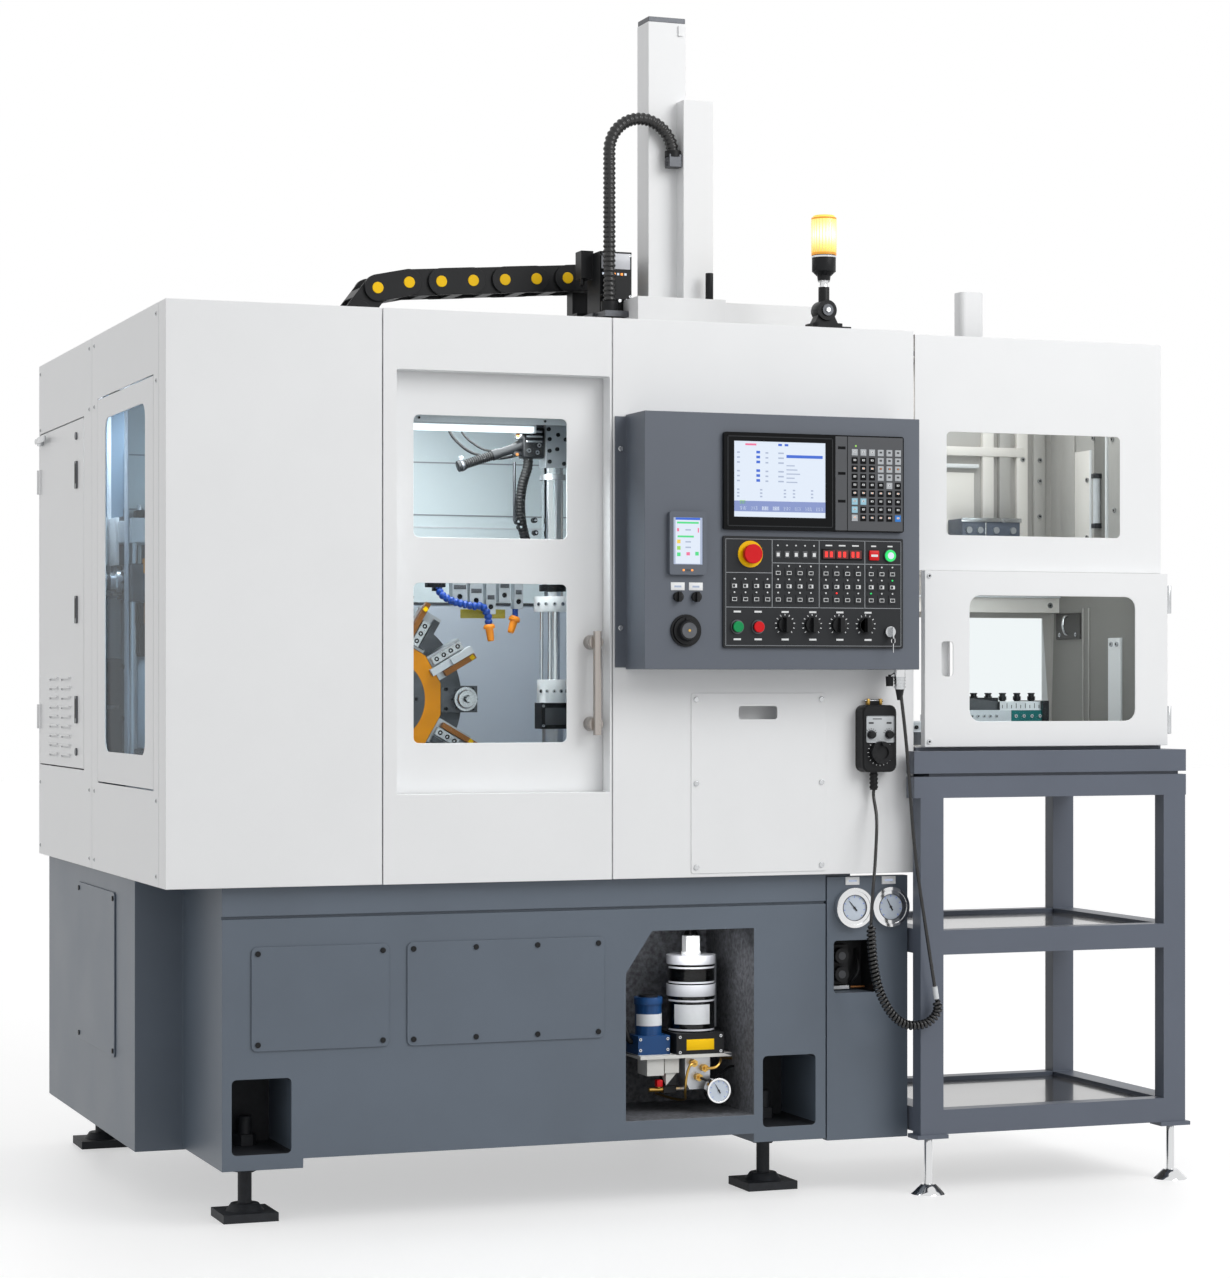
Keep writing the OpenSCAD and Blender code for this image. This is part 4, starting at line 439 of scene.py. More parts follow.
def dress_turret():
    """Finishes of the turret disc, its coloured ring and the three kinds of tool holders."""
    paint("turret_disc", DARK_STEEL, (ORANGE, lambda p: (TURRET.y - mm(p).y > HEAD_T + 0.1
                                                         and (mm(p) - TURRET).xz.length > HUB_R + 0.5)))
    paint("tool_holders", STEEL, (DARK_STEEL, holder_faces(0, -90, 90, False)),
          (ALU, holder_faces(1, -90, 90, False)), (ALU, holder_faces(2, -90, 90, False)),
          (BRONZE, holder_faces(1, -29, -14.5, True)), (PALE, holder_faces(1, -14.4, 4.5, True)),
          (BRONZE, holder_faces(2, 11, 25, True)), (DARK_STEEL, holder_faces(2, -29, -12.5, True)))


# New pieces
FRONT, BACK, LEFT, RIGHT, UP = (0, -1, 0), (0, 1, 0), (-1, 0, 0), (1, 0, 0), (0, 0, 1)


def ray(turn):
    """The way out from a centre at an angle in degrees."""
    return math.cos(math.radians(turn)), math.sin(math.radians(turn))


def around(count):
    """Angles in degrees at even steps round a circle."""
    return [360 * k / count for k in range(count)]


def round_face(node):
    """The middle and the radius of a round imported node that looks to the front."""
    low, high = span(node)
    return (low.x + high.x) / 2, (low.z + high.z) / 2, (high.x - low.x) / 2


class Build:
    """Collects simple solids into one piece, each with its own finish."""

    def __init__(self):
        self.mesh = bmesh.new()
        self.finishes = []

    def _mark(self, verts, finish):
        if finish not in self.finishes:
            self.finishes.append(finish)
        index = self.finishes.index(finish)
        for face in {f for v in verts for f in v.link_faces}:
            face.material_index = index

    def block(self, low, high, finish, soft=0.0):
        """A box between two corners in millimetres, its edges rounded by soft."""
        a, b = at(*low), at(*high)
        made = bmesh.ops.create_cube(self.mesh, size=1.0)["verts"]
        middle = (a + b) / 2
        span = b - a
        for v in made:
            v.co = Vector(middle[i] + v.co[i] * span[i] for i in range(3))
        if soft:
            edges = list({e for v in made for e in v.link_edges})
            bevelled = bmesh.ops.bevel(self.mesh, geom=edges, offset=soft / 1000, segments=2, affect="EDGES",
                                       profile=0.5)
            made = bevelled["verts"]
        self._mark(made, finish)

    def rod(self, start, end, r, finish, sides=24, r_end=None, turn=0.0):
        """A round bar or cone between two places in millimetres."""
        a, b = at(*start), at(*end)
        axis = b - a
        r_end = r if r_end is None else r_end
        made = bmesh.ops.create_cone(self.mesh, cap_ends=True, segments=sides, radius1=r / 1000,
                                     radius2=r_end / 1000, depth=axis.length)["verts"]
        turned = axis.to_track_quat("Z", "Y").to_matrix().to_4x4() @ Matrix.Rotation(turn, 4, "Z")
        bmesh.ops.transform(self.mesh, matrix=Matrix.Translation((a + b) / 2) @ turned, verts=made)
        self._mark(made, finish)

    def band(self, centre, axis, r_in, r_out, depth, finish, sides=32):
        """A flat ring about an axis, its rear face at the centre."""
        way = Vector(axis).normalized()
        turned = way.to_track_quat("Z", "Y")
        rings = []
        for r, h in ((r_in, 0), (r_out, 0), (r_out, depth), (r_in, depth)):
            spots = [Vector((r * math.cos(2 * math.pi * k / sides), r * math.sin(2 * math.pi * k / sides), h))
                     for k in range(sides)]
            rings.append([self.mesh.verts.new(at(*centre) + turned @ (s / 1000)) for s in spots])
        for j in range(4):
            here, there = rings[j], rings[(j + 1) % 4]
            for k in range(sides):
                m = (k + 1) % sides
                self.mesh.faces.new((here[k], here[m], there[m], there[k]))
        self._mark([v for ring in rings for v in ring], finish)

    def tube(self, path, radii, finish, sides=12):
        """A round tube along places in millimetres, with one radius for each place."""
        spots = [at(*p) for p in path]
        last = len(spots) - 1
        ahead = [(spots[min(i + 1, last)] - spots[max(i - 1, 0)]).normalized() for i in range(last + 1)]
        side = ahead[0].orthogonal().normalized()
        rings = []
        for i, spot in enumerate(spots):
            side = (side - ahead[i] * side.dot(ahead[i])).normalized()
            other = ahead[i].cross(side)
            r = radii[i] / 1000
            turns = [2 * math.pi * k / sides for k in range(sides)]
            rings.append([self.mesh.verts.new(spot + r * (math.cos(t) * side + math.sin(t) * other))
                          for t in turns])
        for here, there in zip(rings, rings[1:]):
            for k in range(sides):
                m = (k + 1) % sides
                self.mesh.faces.new((here[k], here[m], there[m], there[k]))
        self.mesh.faces.new(rings[0][::-1])
        self.mesh.faces.new(rings[-1])
        self._mark([v for ring in rings for v in ring], finish)

    def shell(self, centre, r, height, start, end, finish, steps=16):
        """A thin label round an upright cylinder, from one angle to another in degrees."""
        x, y, z = centre
        rows = []
        for r_now, rise in ((r, 0), (r + 0.5, 0), (r + 0.5, height), (r, height)):
            turns = [math.radians(start + (end - start) * k / steps) for k in range(steps + 1)]
            rows.append([self.mesh.verts.new(at(x + r_now * math.cos(t), y + r_now * math.sin(t), z + rise))
                         for t in turns])
        for j in range(4):
            here, there = rows[j], rows[(j + 1) % 4]
            for k in range(steps):
                self.mesh.faces.new((here[k], here[k + 1], there[k + 1], there[k]))
        for k in (0, steps):
            self.mesh.faces.new([row[k] for row in rows])
        self._mark([v for row in rows for v in row], finish)

    def screw(self, place, way, r, finish, height=2.5):
        """A round screw head with a socket, which stands on a face and looks along way."""
        foot, way = Vector(place), Vector(way)
        self.rod(foot, foot + way * height, r, finish, sides=16)
        self.rod(foot + way * height, foot + way * (height + 0.3), r * 0.5, PLASTIC, sides=6)

    def screws(self, xs, ys, zs, way, r, finish=STEEL, height=2.5):
        """Screws at each pairing of the places along the three axes."""
        for spot in product(xs, ys, zs):
            self.screw(spot, way, r, finish, height)

    def pipe(self, points, r, finish, sides=12):
        """A pipe of one radius on a smooth curve through places in millimetres."""
        path = smooth_path(points)
        self.tube(path, [r] * len(path), finish, sides)

    def rays(self, centre, turns, r_in, r_out, thick, finish, sides=6, r_end=None):
        """Thin bars on a face that looks to the front, which point out from a centre."""
        x, y, z = centre
        for way in map(ray, turns):
            start, end = ((x + r * way[0], y, z + r * way[1]) for r in (r_in, r_out))
            self.rod(start, end, thick, finish, sides, r_end)

    def tray(self, low, high, wall, back, finish):
        """An open box that looks to the front, its walls and its back given by their thickness."""
        (x0, y0, z0), (x1, y1, z1) = low, high
        self.block((x0, y1 - back, z0), high, finish)
        for x in (x0, x1 - wall):
            self.block((x, y0, z0), (x + wall, y1, z1), finish)
        for z in (z0, z1 - wall):
            self.block((x0, y0, z), (x1, y1, z + wall), finish)

    def piece(self, name, body, smooth=30):
        """The finished piece, riding on a body."""
        bmesh.ops.recalc_face_normals(self.mesh, faces=self.mesh.faces)
        data = bpy.data.meshes.new(name)
        self.mesh.to_mesh(data)
        self.mesh.free()
        for finish in self.finishes:
            data.materials.append(finish)
        data.shade_smooth()
        data.set_sharp_from_angle(angle=math.radians(smooth))
        made = bpy.data.objects.new(name, data)
        bpy.context.scene.collection.objects.link(made)
        if body:
            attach(made, body)
        return made


def smooth_path(points, steps=6):
    """Places on a smooth curve through the given ones."""
    pts = [Vector(p) for p in points]
    path = []
    for i in range(len(pts) - 1):
        p0, p1, p2, p3 = pts[max(i - 1, 0)], pts[i], pts[i + 1], pts[min(i + 2, len(pts) - 1)]
        for k in range(steps):
            t = k / steps
            path.append(0.5 * (2 * p1 + (p2 - p0) * t + (2 * p0 - 5 * p1 + 4 * p2 - p3) * t * t
                               + (3 * p1 - p0 - 3 * p2 + p3) * t ** 3))
    path.append(pts[-1])
    return path


def even_steps(path, pitch, per_pitch=1):
    """Places at even steps along a path, each with the way ahead there, some of them in each pitch."""
    lengths = [0.0]
    for p, q in zip(path, path[1:]):
        lengths.append(lengths[-1] + (q - p).length)
    count = round(lengths[-1] / pitch) * per_pitch
    places, j = [], 0
    for i in range(count + 1):
        s = lengths[-1] * i / count
        while j < len(path) - 2 and lengths[j + 1] < s:
            j += 1
        step = path[j + 1] - path[j]
        places.append((path[j] + step * ((s - lengths[j]) / step.length), step.normalized()))
    return places


def ribbed(build, points, pitch, radii, finish, sides=18):
    """A hose along a smooth curve, whose thickness runs through the radii once in each pitch."""
    spots = [spot for spot, _ in even_steps(smooth_path(points, 12), pitch / len(radii))]
    build.tube(spots, [radii[i % len(radii)] for i in range(len(spots))], finish, sides)


# Pendant cord: its route repeats the part's source
CORD_D = 7.5
COIL_D = 22
COIL_PITCH = 9.0
CORD_Y = -86
LEAD = [(1647, -60, 1157), (1649, -64, 1117), (1657, -76, 1000), (1672, CORD_Y, 774), (1700, CORD_Y, 594),
        (1726, CORD_Y, 440)]
COIL = [(1726, CORD_Y, 440), (1728, CORD_Y, 416), (1716, CORD_Y, 398), (1692, CORD_Y, 386), (1655, CORD_Y, 386),
        (1628, CORD_Y, 400), (1606, CORD_Y, 424), (1586, CORD_Y, 462), (1574, CORD_Y, 505), (1567, CORD_Y, 555),
        (1564, CORD_Y, 612)]
TAIL = [(1564, CORD_Y, 612), (1574, CORD_Y + 10, 690), (1586, CORD_Y + 24, 753), (1598, -44, 840),
        (1602, -20, 890), (1602, -20, 907.7)]


def helix_round(path, radius, pitch, per_turn=14):
    """Places on a helix round a path, which starts and ends on the path itself."""
    places = even_steps(path, pitch, per_turn)
    spots = []
    for i, (spot, ahead) in enumerate(places):
        side = Vector(BACK).cross(ahead).normalized()
        other = ahead.cross(side)
        ease = min(1.0, i / per_turn, (len(places) - 1 - i) / per_turn)
        turn = 2 * math.pi * i / per_turn
        spots.append(spot + radius * ease * (math.cos(turn) * side + math.sin(turn) * other))
    return spots


def free_line(name, route, diameter, finish, body):
    """A round cord along places in millimetres that goes from the object back into it."""
    spots = [at(*p) for p in route]
    data = bpy.data.curves.new(name + "_line", "CURVE")
    data.dimensions = "3D"
    data.bevel_depth = diameter / 2000
    data.bevel_resolution = 2
    data.use_fill_caps = True
    line = data.splines.new("POLY")
    line.points.add(len(spots) - 1)
    for point, spot in zip(line.points, spots):
        point.co = (*spot, 1.0)
    cord = bpy.data.objects.new(name, data)
    data.materials.append(finish)
    bpy.context.scene.collection.objects.link(cord)
    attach(cord, body)
    return cord


def pendant_cord():
    """The curly cord from the control box to the pendant, with its connector."""
    coil = helix_round(smooth_path(COIL), (COIL_D - CORD_D) / 2, COIL_PITCH)
    route = smooth_path(LEAD)[:-1] + coil + smooth_path(TAIL)[1:]
    plug = Build()
    x, y, z = LEAD[0]
    plug.rod((x, y, z + 4), (x, y, z + 20), 13, CHROME)
    plug.rod((x, y, z - 24), (x, y, z + 4), 11, STEEL, r_end=13)
    plug.rod((x, y, z - 48), (x, y, z - 24), 5.5, PLASTIC, r_end=10)
    for k in range(4):
        plug.band((x, y, z - 20 + 7 * k), UP, 10, 13.4, 3, STEEL)
    socket = plug.piece("cord_connector", "machine")
    sleeve = Build()
    p, q = Vector(LEAD[-2]), Vector(LEAD[-1])
    sleeve.rod(q + (p - q).normalized() * 30, q + (p - q).normalized() * 2, 6, PALE, sides=20)
    collar = sleeve.piece("cord_sleeve", "machine")
    cord = free_line("curly_cord", route, CORD_D, CORD, "machine")
    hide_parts("pendant_cord")


# Control face: places repeat the part's source, from the corners of its nodes
units_low, units_high = span("control_units")
box_low = span("control_box")[0]
UNIT_W, UNIT_H = 430, 212
UNIT_X = units_high.x - UNIT_W
UNIT_Z = units_high.z - UNIT_H
OPER_Z = units_low.z
UNIT_Y = box_low.y - 10
OPER_Y = box_low.y - 6
TOUCH_X, TOUCH_Z, TOUCH_Y = units_low.x, OPER_Z + 157, box_low.y - 12
KEYPAD_AT, KEY_STEP, KEY_RISE, KEY_W = (303, 24), 21, 18, 14
PADS, PAD_Z, PAD_STEP, PAD_RISE, PAD_KEY = ((16, 4, 2), (119, 4, 3), (233, 4, 3), (342, 3, 3)), 98, 26, 29, 19
LIT_KEYS = {(342, 2, 1): LED_GREEN, (342, 0, 0): LED_GREEN, (233, 1, 0): LED_RED}
KEY_H = 1.5
THIN = 0.4


def key_block(columns, rows):
    """A test for keypad keys in a range of columns and rows, counted from the lower left."""
    x, z = UNIT_X + KEYPAD_AT[0], UNIT_Z + KEYPAD_AT[1]
    return within((x + KEY_STEP * columns[0] - 2, UNIT_Y - 3, z + KEY_RISE * rows[0] - 2),
                  (x + KEY_STEP * columns[1] + KEY_W + 2, UNIT_Y - 0.2, z + KEY_RISE * rows[1] + KEY_W + 2))


def dress_controls():
    """Finishes of the display unit, the operator panel, their keys and the ring of the emergency stop."""
    ring = (UNIT_X + 63, OPER_Z + 204)
    paint("control_units", PANEL,
          (YELLOW, within((ring[0] - 32, OPER_Y - 4, ring[1] - 32),
                          (ring[0] + 32, OPER_Y - 0.2, ring[1] + 32))),
          (PALE_KEY, key_block((0, 5), (8, 8))), (PALE_KEY, key_block((3, 5), (5, 7))),
          (PALE_KEY, key_block((4, 4), (4, 4))), (PALE_KEY, key_block((0, 0), (0, 0))),
          (SKY_KEY, key_block((0, 1), (2, 2))), (SKY_KEY, key_block((0, 0), (1, 1))),
          (BLUE_KEY, key_block((5, 5), (0, 0))), (BEZEL, key_block((0, 5), (0, 7))),
          (BEZEL, within((UNIT_X - 1, UNIT_Y - 1, UNIT_Z - 1), (FAR, FAR, FAR))),
          (BOX, within((TOUCH_X, TOUCH_Y - 1, TOUCH_Z), (TOUCH_X + 86, FAR, FAR))))


def fields(build, low, size, face, parts):
    """Flat fields of colour on a screen, each with its place and size as shares of the screen."""
    for left, base, right, top, finish in parts:
        build.block((low[0] + size[0] * left, face - THIN, low[1] + size[1] * base),
                    (low[0] + size[0] * right, face, low[1] + size[1] * top), finish)


def screens():
    """The two screens with plain fields of colour."""
    build = Build()
    for left, base, right, top, finish in ((264, 3, UNIT_W - 3, UNIT_H - 3, KEYPAD), (8, 8, 258, 10, PANEL),
                                           (8, 202, 258, 204, PANEL), (8, 8, 10, 204, PANEL),
                                           (256, 8, 258, 204, PANEL)):
        build.block((UNIT_X + left, UNIT_Y - THIN, UNIT_Z + base),
                    (UNIT_X + right, UNIT_Y, UNIT_Z + top), finish)
    face = UNIT_Y + 2.6
    low, size = (UNIT_X + 25, UNIT_Z + 29), (216, 164)
    build.block((low[0], face, low[1]), (low[0] + size[0], face + 0.4, low[1] + size[1]), SCREEN)
    parts = [(0, 0.07, 1, 0.21, SCREEN_BAND), (0.57, 0.79, 0.97, 0.83, SCREEN_BLUE),
             (0.48, 0.945, 0.52, 0.975, SCREEN_BLUE), (0.55, 0.945, 0.59, 0.975, SCREEN_BLUE),
             (0.12, 0.945, 0.24, 0.97, SCREEN_PINK), (0.06, 0.17, 0.12, 0.215, SCREEN_LIME)]
    for row in range(6):
        level = 0.84 - 0.065 * row - (0.05 if row > 2 else 0)
        parts.append((0.24, level, 0.28, level + 0.035, SCREEN_BLUE))
        parts += [(left, level, right, level + 0.02, SCREEN_GREY)
                  for left, right in ((0.03, 0.06), (0.34, 0.37), (0.48, 0.54))]
    for row in range(5):
        parts.append((0.57, 0.68 - 0.055 * row, 0.66 + 0.03 * (row % 3), 0.695 - 0.055 * row, SCREEN_GREY))
    for row in range(3):
        parts += [(left, 0.26 + 0.045 * row, left + 0.025, 0.28 + 0.045 * row, SCREEN_GREY)
                  for left in (0.03, 0.28, 0.54, 0.64, 0.84)]
    parts += [(0.06 + 0.12 * k, 0.09, 0.13 + 0.12 * k, 0.14, SCREEN) for k in range(8)]
    fields(build, low, size, face, parts)
    face = TOUCH_Y + 1.7
    low, size = (TOUCH_X + 14, TOUCH_Z + 24), (57, 99)
    build.block((TOUCH_X + 9.5, face, TOUCH_Z + 22.5),
                (TOUCH_X + 76.5, face + 0.2, TOUCH_Z + 123.5), SCREEN_GREY)
    build.block((low[0], face - 0.2, low[1]), (low[0] + size[0], face, low[1] + size[1]), SCREEN)
    fields(build, low, size, face - 0.2,
           [(0, 0.95, 1, 1, SCREEN_BLUE), (0.06, 0.87, 0.94, 0.91, SCREEN_GREEN),
            (0.06, 0.7, 0.14, 0.77, SCREEN_PINK), (0.9, 0.68, 0.95, 0.78, SCREEN_PINK),
            (0.08, 0.57, 0.74, 0.61, SCREEN_GREEN),
            (0.06, 0.44, 0.2, 0.52, SCREEN_YELLOW), (0.06, 0.3, 0.2, 0.38, SCREEN_LIME),
            (0.06, 0.16, 0.2, 0.24, SCREEN_GREEN), (0.44, 0.18, 0.58, 0.25, SCREEN_PINK),
            (0.8, 0.18, 0.94, 0.26, SCREEN_GREEN), (0.4, 0.46, 0.62, 0.49, SCREEN_GREY),
            (0.4, 0.34, 0.62, 0.37, SCREEN_GREY), (0.4, 0.72, 0.62, 0.75, SCREEN_GREY)])
    for left, finish in ((30, LED_AMBER), (38, KEYPAD), (43, KEYPAD), (50, LED_AMBER)):
        build.block((TOUCH_X + left, TOUCH_Y - 0.5, TOUCH_Z + 8),
                    (TOUCH_X + left + 4, TOUCH_Y, TOUCH_Z + 12), finish)
    build.piece("screens", "machine")


def key_marks():
    """Plain pale marks on the dark keys, and lamps beside them."""
    build = Build()
    x, z = UNIT_X + KEYPAD_AT[0], UNIT_Z + KEYPAD_AT[1]
    y = UNIT_Y - KEY_H
    for i, k in product(range(6), range(9)):
        tone = MARK if k < 5 or i < 3 else KEYS
        left, low = x + KEY_STEP * i, z + KEY_RISE * k
        build.block((left + 4, y - THIN, low + 6), (left + 10, y, low + 10), tone)
        build.block((left + 6, y - 2 * THIN, low + 7), (left + 8.5, y - THIN, low + 9),
                    NOZZLE if k % 3 == 0 and k < 8 else KEYS)
    plate = UNIT_Y - THIN
    for rise in (64, 125, 181):
        build.block((UNIT_X + 270, plate - THIN, UNIT_Z + rise),
                    (UNIT_X + 288, plate, UNIT_Z + rise + 6), BEZEL)
    build.block((UNIT_X + 292, plate - THIN, UNIT_Z + 3), (UNIT_X + 293.5, plate, UNIT_Z + UNIT_H - 3), BEZEL)
    build.rod((UNIT_X + 313, UNIT_Y - 0.8, UNIT_Z + 189), (UNIT_X + 313, UNIT_Y, UNIT_Z + 189), 2.2,
              SCREEN_LIME)
    y = OPER_Y - KEY_H
    for at_x, columns, rows in PADS:
        for i, k in product(range(columns), range(rows)):
            left, low = UNIT_X + at_x + PAD_STEP * i, OPER_Z + PAD_Z + PAD_RISE * k
            build.block((left + 4, y - THIN, low + 4), (left + 15, y, low + 12), MARK)
            build.block((left + 5.2, y - 2 * THIN, low + 5.2),
                        (left + 13.8 - 3 * (k % 2), y - THIN, low + 10.8), PANEL)
            light = LIT_KEYS.get((at_x, i, k), MARK)
            over = low + PAD_KEY + 4
            build.rod((left + 9.5, OPER_Y - 1.6, over), (left + 9.5, OPER_Y, over), 1.8, light, sides=10)
    build.piece("key_marks", "machine")


def panel_lines():
    """Pale dividing lines of the operator panel, its readouts and its row of lamps."""
    build = Build()
    x, z, y = UNIT_X, OPER_Z, OPER_Y
    for low, top in (((5, 88), (425, 89.4)), ((5, 163), (114, 164.4)), ((114, 185), (425, 186.4)),
                     ((5, 5), (425, 6)), ((5, 236), (425, 237)), ((5, 5), (6, 237)), ((424, 5), (425, 237)),
                     ((114, 88), (115.4, 237)), ((226, 88), (227.4, 237)), ((336, 88), (337.4, 237))):
        build.block((x + low[0], y - THIN, z + low[1]), (x + top[0], y, z + top[1]), LINE)
    for k in range(5):
        left = x + 122 + 21.5 * k
        build.rod((left + 6, y - 1.6, z + 224), (left + 6, y, z + 224), 1.8, MARK, sides=10)
        build.block((left, y - 1.2, z + 196), (left + 13, y, z + 212), KEYS, 1)
        build.block((left + 3, y - 1.2 - THIN, z + 200), (left + 10, y - 1.2, z + 208), MARK)
    build.block((x + 232, y - 2, z + 194), (x + 331, y, z + 218), BEZEL, 1)
    for k in range(3):
        left = x + 236 + 32 * k
        build.block((left, y - 2.4, z + 197), (left + 28, y - 2, z + 215), LED_DARK)
        for bar in (left + 4, left + 16):
            build.block((bar, y - 2.8, z + 200), (bar + 6, y - 2.4, z + 212), LED_RED)
        build.block((left + 6, y - THIN, z + 224), (left + 22, y, z + 227), MARK)
    build.block((x + 346, y - 5, z + 194), (x + 370, y, z + 216), RED, 2)
    build.block((x + 350, y - 5.4, z + 202), (x + 366, y - 5, z + 207), MARK)
    build.rod((x + 397, y - 4, z + 205), (x + 397, y, z + 205), 14, DARK_STEEL, sides=40)
    build.rod((x + 397, y - 7, z + 205), (x + 397, y - 4, z + 205), 12.4, LED_GREEN, sides=40, r_end=13)
    build.rod((x + 397, y - 7.4, z + 205), (x + 397, y - 7, z + 205), 7.5, SCREEN, sides=32)
    for left in (352, 392):
        build.block((x + left, y - THIN, z + 224), (x + left + 12, y, z + 227), MARK)
    for left in (24, 73, 137, 203, 268, 336):
        for low in (17, 77):
            build.block((x + left, y - THIN, z + low), (x + left + 17, y, z + low + 4), MARK)
    build.piece("panel_lines", "machine")


def switch_trim():
    """Scales round the rotary switches, rings of the push buttons, plates and the key on its ring."""
    build = Build()
    for name in ROTARIES:
        x, z, r = round_face(name)
        build.rays((x, OPER_Y - 0.3, z), [-45 + 27 * k for k in range(11)], r + 3, r + 7, 1.1, MARK)
    for name in ("start_button", "stop_button"):
        x, z, r = round_face(name)
        build.band((x, OPER_Y, z), FRONT, r + 0.6, r + 3.4, 2.4, DARK_STEEL)
    for name in SELECTORS:
        x, top = round_face(name)[0], span(name)[1].z
        build.block((x - 16, box_low.y - 1, top + 3), (x + 16, box_low.y, top + 20), DIAL, 0.4)
        # Painted light: the strip on each plate takes the glowing grey of the screens, so it glows though the
        # plate has no lamp
        build.block((x - 8, box_low.y - 1.3, top + 9), (x + 8, box_low.y - 1, top + 13), SCREEN_GREY)
    x, z, r = round_face("power_switch")
    build.band((x, box_low.y, z), FRONT, r + 0.8, r + 5, 5, PLASTIC, sides=48)
    build.piece("switch_trim", "machine")
    build = Build()
    face = span("power_switch")[0].y
    build.rod((x, face - 1, z), (x, face, z), 17, DARK_STEEL, sides=40)
    build.rod((x, face - 1.8, z), (x, face - 1, z), 3.2, BRASS, sides=6)
    build.piece("power_switch_face", "power_switch")
    build = Build()
    x, low = round_face("key_switch")[0], span("key_switch")[0]
    build.band((x - 1, low.y + 2, low.z - 4), (1, 0.2, 0), 6, 7.4, 1.6, CHROME, sides=24)
    build.block((x - 1, low.y + 1, low.z - 30), (x + 1, low.y + 6, low.z - 9), STEEL, 0.4)
    build.piece("key_on_ring", "key_switch")


# Gauges, lubrication unit and base
def dial(build, place, r, turn):
    """A gauge face with its scale and a needle, seen from the front."""
    x, y, z = place
    build.rod((x, y - 0.6, z), (x, y, z), r, PALE_DIAL, sides=48)
    # Painted light: the scale's marks take the glowing blue of the screens, so they glow though the gauge has
    # no lamp
    build.rays((x, y - 0.9, z), [-45 + 33.75 * k for k in range(9)], 0.78 * r, 0.92 * r, 0.018 * r, SCREEN_BLUE)
    build.rays((x, y - 1.8, z), [turn], -0.3 * r, 0.72 * r, 0.06 * r, PLASTIC, 8, 0.015 * r)
    build.rod((x, y - 2.6, z), (x, y - 0.6, z), 0.1 * r, DARK_STEEL, sides=16)


def gauge_faces():
    """Faces and rims of the two pressure gauges, and the bare plates above them."""
    build = Build()
    low, high = span("gauges")
    face = low.y + 6
    r = (high.x - low.x - 90) / 2
    for x, turn in ((low.x + r, 130), (high.x - r, 118)):
        z = high.z - 45
        dial(build, (x, face, z), 29, turn)
        build.band((x, face + 0.6, z), FRONT, 28.6, 38, 4, CHROME, sides=48)
        build.band((x, face + 0.6, z), FRONT, 28.4, 29.6, 5, DARK_STEEL, sides=48)
        build.block((x - 17, low.y + 15, high.z + 6), (x + 17, low.y + 18, high.z + 24), DIAL, 0.4)
        # Painted light: the strip on each plate takes the glowing grey of the screens, so it glows though the
        # plate has no lamp
        build.block((x - 10, low.y + 14.6, high.z + 13), (x + 10, low.y + 15, high.z + 17), SCREEN_GREY)
    build.piece("gauge_faces", "machine")


def regulator():
    """Ribs round the regulator's knobs, and the line and plate beside them in the recess."""
    build = Build()
    x, front, knob_r = 1565, 68, 16.6
    for z in (488, 530):
        for way in map(ray, around(14)):
            rib = (x + knob_r * way[0], z + knob_r * way[1])
            build.rod((rib[0], front + 3, rib[1]), (rib[0], front + 26, rib[1]), 1.5, PANEL, sides=6)
        build.rod((x, front - 0.6, z), (x, front, z), 9, KEYS, sides=24)
    build.pipe([(1600, 108, 452), (1600, 92, 470), (1612, 84, 492), (1616, 96, 520), (1616, 109, 540)], 4,
               PLASTIC)
    build.rod((1592, 82, 458), (1626, 82, 458), 2.4, BRONZE, sides=12)
    build.block((1540, 84, 453), (1590, 106, 461), PALE, 1)
    build.piece("regulator_trim", "machine")


